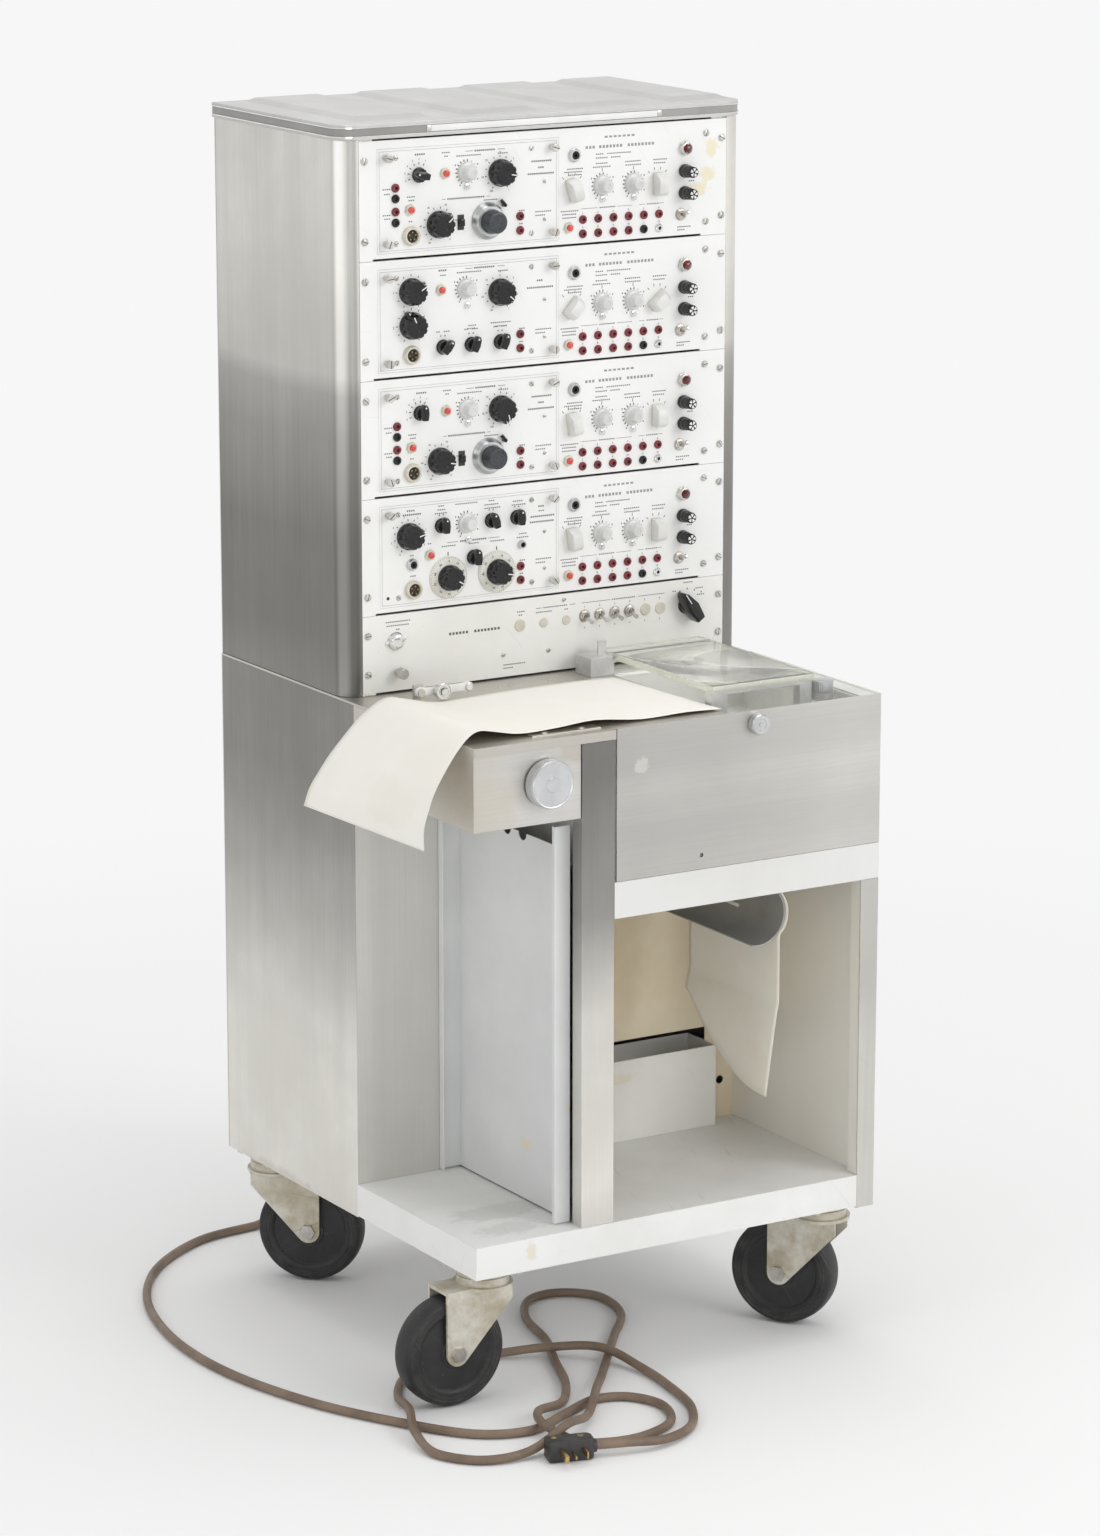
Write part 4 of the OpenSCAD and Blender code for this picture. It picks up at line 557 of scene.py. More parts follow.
def joined(*shapes):
    """Several shapes as one."""
    bm = bmesh.new()
    for shape in shapes:
        add_to(bm, shape, HERE)
    return bm


def add_to(bm, shape, place):
    mesh = bpy.data.meshes.new("copy")
    shape.to_mesh(mesh)
    mesh.transform(place)
    bm.from_mesh(mesh)
    bpy.data.meshes.remove(mesh)


# Pieces

building = {}


def add(piece, shape, place=HERE):
    """Puts a copy of a shape into a piece that is being built."""
    add_to(building.setdefault(piece, bmesh.new()), shape, place)


def settle(obj, body, node=None):
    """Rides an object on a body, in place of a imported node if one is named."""
    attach(obj, body)
    if node:
        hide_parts(node)
    return obj


def finish_piece(piece, finish, body="console", node=None, smooth=32):
    """Turns what was added to a piece into an object in metres, with its finish and its body."""
    bm = building.pop(piece)
    mesh = bpy.data.meshes.new(piece)
    bm.to_mesh(mesh)
    bm.free()
    mesh.transform(Matrix.Scale(MM, 4))
    mesh.materials.append(FINISHES[finish])
    mesh.shade_smooth()
    mesh.set_sharp_from_angle(angle=radians(smooth))
    return settle(linked(piece, mesh), body, node)


def refined(node, finish, edge, body="console"):
    """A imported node's own shape with its edges eased."""
    bm = bmesh.new()
    bm.from_mesh(nodes[node].data)
    bmesh.ops.transform(bm, matrix=Matrix.Scale(1 / MM, 4), verts=bm.verts)
    bmesh.ops.remove_doubles(bm, verts=bm.verts, dist=0.002)
    bmesh.ops.dissolve_limit(bm, angle_limit=radians(0.5), verts=bm.verts, edges=bm.edges)
    if edge:
        rounded(bm, edge, 1, 40)
    building[node + "_dressed"] = bm
    piece = finish_piece(node + "_dressed", finish, body, node, smooth=28)
    piece.modifiers.new("even_shading", "WEIGHTED_NORMAL").keep_sharp = True
    return piece


PANEL_Y = edges_of("driver_amplifiers")[0].y
RACK_Z = edges_of("writer_control")[0].z - 0.2
UNIT = 44.45
MODULE_H = 3 * UNIT
MODULES = [RACK_Z + 2 * UNIT + (3 - i) * MODULE_H for i in range(4)]
EAR_X, EAR_Z = 234.7, 22.2
MOVING_GAP = 0.5
LEVER_PIVOT = shift(0, 0, 1.2)


def on_panel(at, z, turn=0.0, out=0.0):
    """The place of a control on the panels' face: Z points out at the front, and the turn is anticlockwise."""
    return shift(at[0], PANEL_Y - out, z + at[1]) @ turned(90, "X") @ turned(turn)


# Shapes of the controls

@cache
def slotted_screw(r, h):
    return lathe([(0, 0), (r, 0), (r, h * 0.45), (r * 0.72, h * 0.9), (r * 0.3, h), (0, h)], 20)


# A dark bar across the screw head: painted shade standing for the slot.
@cache
def screw_slot(r, h):
    return block((-r * 0.86, -0.35, h * 0.72), (r * 0.86, 0.35, h * 1.01))


def fluted(bm, count, depth, r0, z0, z1=1e9):
    """Presses this many flutes into the side of a turned shape, outside r0 and between z0 and z1."""
    for v in bm.verts:
        reach = hypot(v.co.x, v.co.y)
        if reach > r0 and z0 < v.co.z < z1:
            squeeze = 1 - depth / reach * max(0.0, cos(count * (atan2(v.co.y, v.co.x) - pi / 2) + pi))
            v.co.x *= squeeze
            v.co.y *= squeeze
    return bm


def knurled(r, z0, z1, teeth=28, depth=0.4, edge=0.6):
    """A barrel with straight knurling."""
    return fluted(bar(r, z0, z1, teeth * 3, edge), teeth, depth, r - edge / 2, z0 - 1)


@cache
def large_knob(r=15.4, h=16.0):
    body = lathe([(0, 0), (r, 0), (r, h * 0.25), (r * 0.95, h * 0.33), (r * 0.92, h * 0.6), (r * 0.87, h * 0.9),
                  (r * 0.8, h), (r * 0.34, h), (r * 0.3, h - 0.7), (0, h - 0.7)], 80)
    fluted(body, 10, r * 0.09, r * 0.7, h * 0.3)
    nose = prism([(-4.6, r * 0.5), (4.6, r * 0.5), (2.4, r + 1.8), (-2.4, r + 1.8)], 0, h * 0.52, 0.7)
    return joined(body, nose)


@cache
def large_knob_line(r=15.4, h=16.0):
    return joined(block((-0.6, r * 0.36, h - 0.1), (0.6, r * 0.8, h + 0.14)),
                  block((-0.6, r * 0.93, h * 0.52 - 0.1), (0.6, r + 1.5, h * 0.52 + 0.14)))


@cache
def pointer_knob():
    base = fluted(lathe([(0, 0), (8.6, 0), (8.6, 1.3), (8.0, 2.0), (7.8, 6.2), (7.2, 7.0), (0, 7.0)], 72), 12, 0.5, 7.0,
                  1.6)
    handle = prism([(-3.4, -7.4), (3.4, -7.4), (4.6, 0), (3.7, 7.2), (1.5, 10.6), (-1.5, 10.6), (-3.7, 7.2), (-4.6, 0)],
                   5.5, 14.6, 1.0)
    return joined(base, handle)


@cache
def pointer_knob_dot():
    return moved(bar(1.0, 14.4, 14.8, 12), shift(0, 7.2, 0))


@cache
def skirt_knob():
    return lathe([(0, 0), (11.5, 0), (11.5, 0.8), (10.4, 3.0), (8.2, 3.7), (7.6, 4.6), (7.1, 12.6), (6.2, 14.0),
                  (2.9, 14.4), (2.6, 13.9), (0, 13.9)], 48)


@cache
def lever_knob():
    side = prism([(-12.8, 1.6), (12.8, 1.6), (13, 7), (7.4, 15.2), (6, 16), (-8, 16), (-9.6, 15.2), (-13, 11)], -6.5,
                 6.5, 1.1)
    return moved(side, Matrix(((0, 0, 1, 0), (1, 0, 0, 0), (0, 1, 0, 0), (0, 0, 0, 1))))


@cache
def lever_plate():
    return block((-6.5, -13, 0), (6.5, 13, 2.3), 0.8)


@cache
def dial_disc():
    return lathe([(0, 0), (21, 0), (21, 1.4), (20.5, 2.0), (17.4, 8.2), (16.8, 8.7), (14.2, 8.8), (13.6, 8.2),
                  (0, 8.2)], 72)


@cache
def dial_marks():
    bm = bmesh.new()
    for k in range(50):
        long = 1.9 if k % 5 == 0 else 1.1
        place = turned(k * 7.2) @ shift(19.0, 0, 5.1) @ turned(-116.6, "Y")
        add_to(bm, block((-long, -0.13, -0.1), (long, 0.13, 0.1)), place)
    return bm


@cache
def dial_grip():
    grip = lathe([(0, 8.4), (13.2, 8.4), (13.2, 10), (12.7, 10.8), (12.3, 22.4), (11.4, 23.6), (9.6, 23.9), (9.2, 23.4),
                  (0, 23.4)], 90)
    return fluted(grip, 30, 0.35, 11.8, 10.5, 22.9)


@cache
def numbered_skirt():
    return lathe([(0, 0), (24.5, 0), (24.5, 1.2), (23.8, 2.1), (15.5, 3.0), (0, 3.0)], 72)


@cache
def figure(text, size):
    """Raised figures, centred, lying on the face."""
    curve = bpy.data.curves.new("figure", "FONT")
    curve.body = text
    curve.size = size
    curve.align_x, curve.align_y = "CENTER", "CENTER"
    curve.resolution_u = 2
    curve.extrude = 0.06
    obj = linked("figure", curve)
    bpy.context.view_layer.update()
    mesh = bpy.data.meshes.new_from_object(obj.evaluated_get(bpy.context.evaluated_depsgraph_get()))
    bpy.data.objects.remove(obj)
    bm = bmesh.new()
    bm.from_mesh(mesh)
    bpy.data.meshes.remove(mesh)
    return bm


@cache
def skirt_figures():
    bm = bmesh.new()
    for k in range(50):
        inner = 21.6 if k % 5 == 0 else 22.4
        add_to(bm, block((-0.16, inner, 2.1), (0.16, 23.5, 2.45)), turned(k * 7.2))
    for k in range(10):
        add_to(bm, figure(str(k * 10), 3.6), turned(-36 * k) @ shift(0, 18.9, 2.85))
    return bm


@cache
def jack_collar(r=4.9):
    return lathe([(1.9, 0.3), (1.9, 2.9), (2.2, 3.3), (3.6, 3.3), (3.9, 2.9), (4.0, 2.3), (r - 0.3, 2.0), (r, 1.6),
                  (r, 0), (1.9, 0), (1.9, 0.3)], 28)


# A dark disc in the jack's mouth: painted shade standing for its bore.
@cache
def jack_bore(r=1.9):
    return bar(r, 0.05, 0.7, 16)


def hex_nut(r, z0, z1, edge=0.4):
    return prism(polygon(r, 6), z0, z1, edge)


@cache
def button_dome():
    return lathe([(0, 0), (3.7, 0), (3.7, 4.6), (3.4, 5.3), (2.4, 5.9), (0, 6.1)], 24)


@cache
def socket_ring():
    return lathe([(7.4, 0.2), (7.4, 5.0), (7.9, 5.6), (9.5, 5.6), (10.0, 5.0), (10.4, 2.4), (10.8, 2.0), (10.8, 0),
                  (7.4, 0), (7.4, 0.2)], 40)


@cache
def socket_pins():
    bm = bmesh.new()
    for k in range(5):
        add_to(bm, bar(0.95, 1.4, 4.6, 10, 0.3), turned(72 * k + 18) @ shift(4.3, 0, 0))
    return bm


@cache
def phone_ring(r):
    return lathe([(r * 0.6, 0.3), (r * 0.6, 4.4), (r * 0.68, 5.0), (r * 0.8, 5.0), (r * 0.86, 3.4), (r * 0.95, 2.8),
                  (r, 2.2), (r, 0), (r * 0.6, 0), (r * 0.6, 0.3)], 40)


@cache
def phone_centre(r):
    return lathe([(r * 0.28, 0.4), (r * 0.28, 3.6), (r * 0.34, 4.0), (r * 0.6, 4.0), (r * 0.6, 0), (r * 0.28, 0),
                  (r * 0.28, 0.4)], 32)


@cache
def lamp_bezel():
    return joined(hex_nut(8.6, 0, 2.6), lathe([(0, 2.4), (7.3, 2.4), (7.3, 5.4), (6.7, 6.8), (5.9, 7.0), (5.5, 6.2),
                                               (0, 6.2)], 36))


@cache
def lamp_jewel():
    return lathe([(0, 6.1), (5.4, 6.1), (4.9, 8.0), (2.9, 9.5), (0, 10.0)], 8)


@cache
def fuse_body():
    body = lathe([(0, 0), (7.8, 0), (7.8, 3.2), (7.2, 3.8), (7.2, 9.2), (6.7, 9.8), (6.4, 19.6), (5.7, 20.8),
                  (0, 20.8)], 72)
    return fluted(body, 12, 0.9, 6.0, 10.2, 20.6)


@cache
def fuse_tip():
    bm = bmesh.new()
    for k in range(5):
        add_to(bm, prism([(1.3, -0.35), (4.6, -1.9), (4.9, 0), (4.6, 1.9), (1.3, 0.35)], 20.6, 21.0),
               turned(72 * k + 10))
    return bm


@cache
def toggle_nut():
    bush = lathe([(3.4, -0.1), (3.4, 4.5), (3.7, 4.9), (4.7, 4.9), (5.0, 4.5), (5.0, -0.1), (3.4, -0.1)], 28)
    return joined(bar(7.5, 0, 0.6, 32, 0.1), hex_nut(6.7, 0.5, 2.8), bush)


@cache
def toggle_lever():
    return lathe([(0, -2.4), (2.0, -1.9), (2.7, 0), (1.7, 2.4), (1.5, 4.0), (2.0, 11), (2.65, 15.2), (2.5, 16.5),
                  (1.6, 17.6), (0, 17.9)], 24)


def bar_knob():
    base = lathe([(0, 0), (10, 0), (10, 2), (9, 3), (8.6, 8), (0, 8)], 48)
    handle = prism([(-6, -19.6), (6, -19.6), (8.4, 0), (4, 16.6), (0, 21.6), (-4, 16.6), (-8.4, 0)], 1.5, 19.8, 2.0)
    return joined(base, handle)


# The controls' places, as [x, height in the module]

INPUT, CAL, VERNIER, SENSITIVITY = (-165.5, 92.5), (-132, 92.4), (-104, 92), (-60.6, 88.7)
BALANCE, SLIDE, TEN_TURN, BRAKE = (-140.4, 36), (-111.8, 36.4), (-77, 36), (-56.5, 52.5)
MODE, CONNECTOR = (-177, 54.5), (-176, 25.5)
SIDE_JACKS = {79.8: "red", 67.8: "black", 53.3: "red", 41.2: "black"}
OUT_JACKS = [(-34.8, 38.4), (-34.8, 22.4)]
PHONE, POLARITY, GAIN, POSITION, FILTER = (36.4, 102.6), (33.6, 63.4), (74, 66.4), (115.7, 66.2), (148, 63.5)
LAMP, FUSES, POWER, DRIVER_CAL = (184.5, 102), [(184.5, 76), (184.5, 50.8)], (179.8, 26.5), (29, 21)
WRITER_TOGGLES = [(51.2 + 20.3 * k, 60) for k in range(4)]
SELECTOR = (189, 58.5)
PLAIN_VERNIER = (VERNIER[0] - 1.6, VERNIER[1] + 3)
GAINS = ["1", "2", "5", "10", "20", "50", "100"]
KNOBS = {"large": {"": large_knob, "_line": large_knob_line}, "pointer": {"": pointer_knob, "_dot": pointer_knob_dot},
         "ten_turn": {"": dial_disc, "_marks": dial_marks, "_grip": dial_grip},
         "lever": {"": lever_knob, "_plate": lever_plate}, "skirt": {"": skirt_knob},
         "phone": {"_rings": phone_ring, "_centres": phone_centre},
         "jewel": {"_bezels": lamp_bezel, "_jewels": lamp_jewel}}


def put_knob(kind, prefix, at, z, turn=0.0, out=0.0, sizes=()):
    """A control made of several pieces, each named after the first with an ending of its own."""
    for ending, make in KNOBS[kind].items():
        add(prefix + ending, make(*sizes), on_panel(at, z, turn, out))


def ticks(at, z, r0, r1, start, stop, count, width=0.8):
    """Marks round a control, from start to stop degrees anticlockwise from straight up."""
    for k in range(count):
        mark = block((-width / 2, r0, 0), (width / 2, r1, 0.1))
        add("legend_ticks", mark, on_panel(at, z, start + (stop - start) * k / (count - 1)))


def figures_round(at, z, r, start, stop, texts):
    """Numbers round a control, spread like its ticks."""
    for k, text in enumerate(texts):
        angle = radians(start + (stop - start) * k / (len(texts) - 1))
        numeral(text, 3.2, (at[0] - r * sin(angle), at[1] + r * cos(angle)), z)


def numeral(text, size, at, z):
    add("legend_figures", figure(str(text), size), on_panel(at, z, 0, 0.06))


def rules(z, *rows, width=0.5):
    """Thin lines; each row is its left end, right end and height."""
    for x0, x1, height in rows:
        add("legend_ticks", block((x0, -width / 2, 0), (x1, width / 2, 0.1)), on_panel((0, height), z))


def dashes(z, *rows, thick=1.3, pitch=2.7, piece="legend_dashes"):
    """Rows of short dashes where the small legends stand; each row is its left end, right end and height."""
    dash = block((-0.32 * pitch, -thick / 2, 0), (0.32 * pitch, thick / 2, 0.1))
    for x0, x1, height in rows:
        for k in range(int((x1 - x0) / pitch + 0.4)):
            add(piece, dash, on_panel((x0 + (k + 0.5) * pitch, height), z))


def knob_marks(at, z):
    """Bold marks on the left of a white knob and fine ones on its right."""
    ticks(at, z, 12.0, 14.4, -5, 150, 9, 1.2)
    ticks(at, z, 12.6, 14.2, -30, -150, 7, 0.5)
    for angle in (60, 150, -60, -120):
        turn = radians(angle)
        dot = (at[0] - 16.6 * sin(turn), at[1] + 16.6 * cos(turn))
        add("legend_dashes", block((-0.6, -0.9, 0), (0.6, 0.9, 0.1)), on_panel(dot, z))


# A thin grey frame on the panel face: painted shade for the edge line round the proud preamplifier sub-panel.
def outline(x0, x1, h0, h1, z, width=0.6):
    for a, b in (((x0, h0), (x1, h0)), ((x0, h1), (x1, h1)), ((x0, h0), (x0, h1)), ((x1, h0), (x1, h1))):
        low = (min(a[0], b[0]) - width / 2, min(a[1], b[1]) - width / 2, 0)
        high = (max(a[0], b[0]) + width / 2, max(a[1], b[1]) + width / 2, 0.1)
        add("preamplifier_edge_shade_lines", block(low, high), on_panel((0, 0), z))


def put_jack(at, z, colour):
    add(colour + "_jacks", jack_collar(), on_panel(at, z))
    add("jack_bores", jack_bore(), on_panel(at, z))


def put_button(at, z, piece="buttons"):
    add("button_nuts", hex_nut(6.6, 0, 3.0), on_panel(at, z, 15))
    add(piece, button_dome(), on_panel(at, z))


def put_screw(at, z, r, h, turn):
    add("panel_screws_dressed", slotted_screw(r, h), on_panel(at, z, turn))
    add("screw_slot_shade", screw_slot(r, h), on_panel(at, z, turn))


def lock_nut(at, z):
    add("lock_nuts", joined(hex_nut(3.9, 0, 2.2, 0.2), bar(2.3, 2, 5, 16, 0.3)), on_panel((at[0], at[1] - 16.2), z))


def put_phone(at, z, r, bore):
    """A phone jack of this outer radius."""
    put_knob("phone", "phone", at, z, sizes=(r,))
    add("jack_bores", jack_bore(bore), on_panel(at, z))


def build_module(i):
    """The controls and legends of one module, counted from the top."""
    z = MODULES[i]
    add("socket_rings", socket_ring(), on_panel(CONNECTOR, z))
    add("socket_insulators", bar(7.5, 0.1, 1.6), on_panel(CONNECTOR, z))
    add("socket_pins", socket_pins(), on_panel(CONNECTOR, z, 20 * i))
    for at in OUT_JACKS:
        put_jack(at, z, "red")
    if i in (0, 2):
        build_low_level(i == 0, z)
    elif i == 1:
        build_second(z)
    else:
        build_fourth(z)
    build_driver(i, z)
    outline(-215.6, 13.2, 10.4, 120.6, z)
    for x in (-208.3, 6.4):
        for height in (18.4, 113.6):
            # The fourth module lacks its lower left screw
            if i == 3 and x < 0 and height < 50:
                add("jack_bores", bar(1.9, 0.02, 0.15), on_panel((x, height), z))
                continue
            place = on_panel((x, height), z, 50 + height + 20 * i)
            add("captive_screws", bar(3.2, 0, 5), place)
            add("captive_screws", knurled(4.6, 4.0, 12.0, 16, 0.35), place)
            add("screw_slot_shade", block((-4.2, -0.5, 11.6), (4.2, 0.5, 12.06)), place)
    for k, at in enumerate([(-194.8, 113), (-194.8, 17.8), (-19.8, 113.6), (-19.8, 18.2), (-2.8, 75.4), (-2.8, 32.8)]):
        put_screw(at, z, 3.0 if k < 4 else 2.0, 1.8, 25 * k + 40 * i)
    for height in (16.3, 117.6):
        put_screw((213.5, height), z, 4.0, 2.4, 70 - 30 * i)
    for x in (-EAR_X, EAR_X):
        for height in (EAR_Z, MODULE_H - EAR_Z):
            put_screw((x, height), z, 4.2, 2.6, 30 * i + 0.17 * x + height)


OUTPUT_LEGEND = [(-15, 6.6, 41.8), (-15, -1.3, 37.7), (-36.3, -28.8, 44.6), (-36.3, -29.4, 29.8)]


def build_low_level(top, z):
    """The preamplifier of the first and third modules. The top one's controls move, and stand off the panel."""
    out = MOVING_GAP if top else 0.0
    put_knob("pointer", "input_selector_knob" if top else "pointer_knobs", INPUT, z, 75 if top else 0, out)
    put_button(CAL, z)
    put_button(MODE, z)
    put_knob("skirt", "vernier_knob_dressed" if top else "skirt_knobs", VERNIER, z, 0, out)
    put_knob("large", "sensitivity_knob_dressed" if top else "large_knobs", SENSITIVITY, z, -100 if top else -165, out)
    put_knob("large", "balance_knob_dressed" if top else "large_knobs", BALANCE, z, -50 if top else -100, out)
    put_knob("ten_turn", "ten_turn_dial_disc" if top else "ten_turn_discs", TEN_TURN, z, 0, out)
    add("slide_switch_dressed" if top else "slide_switches", block((-3, -4, -1), (3, 4, 5), 0.6), on_panel(SLIDE, z))
    add("slide_frames", block((-4.2, -8.6, 0), (4.2, 8.6, 0.5), 0.2), on_panel(SLIDE, z))
    add("brake_levers", joined(bar(2.2, 0, 5), block((-2, -1, 3), (2, 8, 5), 0.4)), on_panel(BRAKE, z, 40))
    for height, colour in SIDE_JACKS.items():
        put_jack((-195.5, height), z, colour)
    ticks(INPUT, z, 11.5, 14.2, -30, 110, 6, 1.0)
    figures_round(INPUT, z, 17.6, -30, 110, range(1, 7))
    knob_marks(VERNIER, z)
    ticks(SENSITIVITY, z, 17.6, 19.8, -150, 150, 13, 0.9)
    figures_round(SENSITIVITY, z, 23.0, -150, 150, GAINS)
    ticks(BALANCE, z, 17.6, 19.8, -140, 150, 12, 0.9)
    figures_round(BALANCE, z, 23.0, -140, 150, range(0, 60, 10))
    rules(z, (-105, -95.6, 115.2), (-63.8, -54.4, 115.2), (-135.6, -131, 63.4), (-78.4, -73.8, 63.4))
    dashes(z, (-170.6, -157.5, 115.2), (-94, -66, 115.2), (-129.4, -81, 63.4), (-20, 6.6, 98.7), (-11.3, -1.9, 91.5),
           (-25, 11, 84.6), thick=1.9)
    dashes(z, (-136, -125.6, 115.2), (-133, -126, 111.2), (-117.5, -86, 110.5), (-63.8, -49.7, 110.5),
           (-82.5, -63.8, 59.3), (-212, -201, 78.7), (-210, -201, 73.4), (-212, -201, 50), (-210, -201, 46),
           (-181, -169, 68.7), (-179, -170, 64.8), (-179, -172, 41.5), *OUTPUT_LEGEND)
    lock_nut(VERNIER, z)


def plain_vernier(z):
    """The vernier knob where it stands a little higher and doesn't move."""
    put_knob("skirt", "skirt_knobs", PLAIN_VERNIER, z)
    knob_marks(PLAIN_VERNIER, z)
    lock_nut(VERNIER, z)


def build_second(z):
    """The preamplifier of the second module."""
    for at, turn in (((-176, 96.5), -60), ((-175.8, 58.5), 25), ((-61, 88), -130)):
        put_knob("large", "large_knobs", at, z, turn)
        ticks(at, z, 17.6, 19.8, -150, 150, 11, 0.9)
    figures_round((-61, 88), z, 23, -150, 150, GAINS)
    numeral(1, 4.0, (-198.8, 96.5), z)
    numeral(2, 4.0, (-198.8, 57.4), z)
    for (x, h), turn in (((-135.5, 31.4), -40), ((-98.9, 31.6), -20), ((-61, 31.8), -20)):
        put_knob("pointer", "pointer_knobs", (x, h), z, turn)
        ticks((x, h), z, 12.2, 13.6, -12, 12, 2, 1.4)
        dashes(z, (x - 9, x - 2, h + 17.4), (x + 1, x + 9, h + 17.4))
    put_button((-138, 96), z)
    plain_vernier(z)
    rules(z, (-106, -96.6, 117.5), (-64.4, -55, 117.5))
    dashes(z, (-95, -67, 117.5), (-141, -130, 117.5), (-13, -4.4, 97.4), (-26, 9.7, 89.6), thick=1.9)
    dashes(z, (-117.5, -86, 113.5), (-64, -50, 112), (-103, -92, 53), (-104, -92, 49.6), (-73.8, -46.6, 53.7),
           (-68, -51, 49.6), (-139, -131, 112), *OUTPUT_LEGEND)


def build_fourth(z):
    """The preamplifier of the fourth module, with two numbered dials."""
    put_knob("large", "large_knobs", (-181, 87), z, -75)
    ticks((-181, 87), z, 17.6, 19.8, -120, 150, 12, 0.9)
    figures_round((-181, 87), z, 23, -120, 150, range(7))
    for at, turn in (((-138.7, 95.2), 0), ((-73.3, 95), 15), ((-39.7, 95.4), 0), ((-97, 55), 0)):
        put_knob("pointer", "pointer_knobs", at, z, turn)
        if at[1] > 60:
            ticks(at, z, 11.8, 13.2, -12, 12, 2, 1.4)
    put_button((-154, 63), z)
    for at, r in (((-177, 54.4), 7.0), ((-33.5, 63.4), 5.0)):
        put_phone(at, z, r, r * 0.3)
    for at, turn in (((-130.2, 35), -120), ((-66.4, 35.3), -100)):
        add("numbered_skirts", numbered_skirt(), on_panel(at, z))
        add("skirt_figures", skirt_figures(), on_panel(at, z, turn + 120))
        put_knob("large", "large_knobs", at, z, turn, 2.9, (14.8, 15.0))
        add("index_marks", block((-0.4, 25.2, 0), (0.4, 29, 0.6)), on_panel(at, z))
    plain_vernier(z)
    rules(z, (-131, -116.9, 74.9), (-77.8, -62.8, 74.9))
    dashes(z, (-183.8, -171.6, 115.9), (-189, -164, 111.5), (-114.7, -79.4, 74.9), (-11.3, -2.5, 105.2),
           (-21.6, 10.6, 93.7), (-22.5, 11, 87.4), thick=1.9)
    dashes(z, (-142.8, -134, 117.7), (-144, -133, 113.4), (-147.5, -131, 109.4), (-120.6, -90.3, 117.7),
           (-76.9, -68.4, 117.7), (-82.5, -62.8, 113.4), (-82.5, -60.6, 109.4), (-45, -31, 114), (-46.6, -26.3, 109.8),
           (-11, -2.5, 99.9), (-138.8, -118.4, 71), (-102.8, -90, 71), (-74.7, -56, 71), (-37, -25.6, 75.8),
           (-40, -24, 71.6), (-157, -150, 76), (-180, -173, 64.6), (-180, -172, 41), (-15, 6.6, 44), (-15, -1.3, 39.8),
           (-36.3, -28.8, 45), (-36.3, -29.4, 29.8))


def build_driver(i, z):
    """The right half of one module, counted from the top. The top one's controls move, and stand off the panel."""
    top = i == 0
    out = MOVING_GAP if top else 0.0
    put_phone(PHONE, z, 7.9, 2.3)
    put_knob("lever", "polarity_lever" if top else "lever_knobs", POLARITY, z, (15, -42, 8, 8)[i], out)
    put_knob("lever", "filter_lever" if top else "lever_knobs", FILTER, z, -50 if i == 1 else 0, out)
    for at in (POLARITY, FILTER):
        ticks(at, z, 16.4, 19.6, -40, 40, 4, 0.7)
    for at, name in ((GAIN, "gain_knob_dressed"), (POSITION, "position_knob_dressed")):
        put_knob("skirt", name if top else "skirt_knobs", at, z, 0, out)
        knob_marks(at, z)
        rules(z, (at[0] - 0.35, at[0] + 0.35, at[1] + 17.6), width=4.2)
        lock_nut(at, z)
    put_knob("jewel", "lamp", LAMP, z, 12)
    for at in FUSES:
        add("fuse_holders", fuse_body(), on_panel(at, z))
        add("fuse_tips", fuse_tip(), on_panel(at, z, 25 * i))
    for row, height in enumerate((29.1, 12.9)):
        for k in range(6):
            x = 47.9 + 20.4 * k
            put_jack((x, height), z, "red" if row == 0 or k < 4 else "black" if k == 4 else "bare")
            numeral(k + 1 + 6 * row, 3.0, (x, height + 7.4), z)
    rules(z, (45.6, 67.5, 41.2), (94, 114.4, 41.2), (123.8, 131.6, 41.2), (150.3, 156.6, 41.2), width=0.4)
    dashes(z, (51, 64, 110), (69, 101, 110), (107, 146, 110), thick=3.2, pitch=4.6, piece="legend_titles")
    dashes(z, (76, 119, 120.8), thick=2.2, pitch=6.0, piece="legend_titles")
    dashes(z, (65, 77, 101.8), (80, 112, 101.8), (65, 81, 97.4), (85, 100, 97.4), (70, 91.9, 41.2),
           (133.8, 149.4, 41.2), (27, 48.8, 87), (23, 48, 83.6), (28, 47, 80.2), (65, 81.6, 91.2), (61, 86, 87.2),
           (104, 126, 91.2), (104.5, 126, 87.2), (142, 160.3, 91.2), (142.6, 160.3, 87.2), (18.4, 43, 39.6),
           (20.6, 41, 35.9), (20.6, 41, 32.1), (174.7, 194, 12.1), (174.7, 187, 8.7), (190, 199, 64))
    put_button(DRIVER_CAL, z, "moving_button" if top else "buttons")
    add("toggle_nuts", toggle_nut(), on_panel(POWER, z, 10))
    lever = on_panel(POWER, z) @ LEVER_PIVOT @ turned(-16, "X")
    add("power_lever" if top else "fixed_power_levers", toggle_lever(), lever)


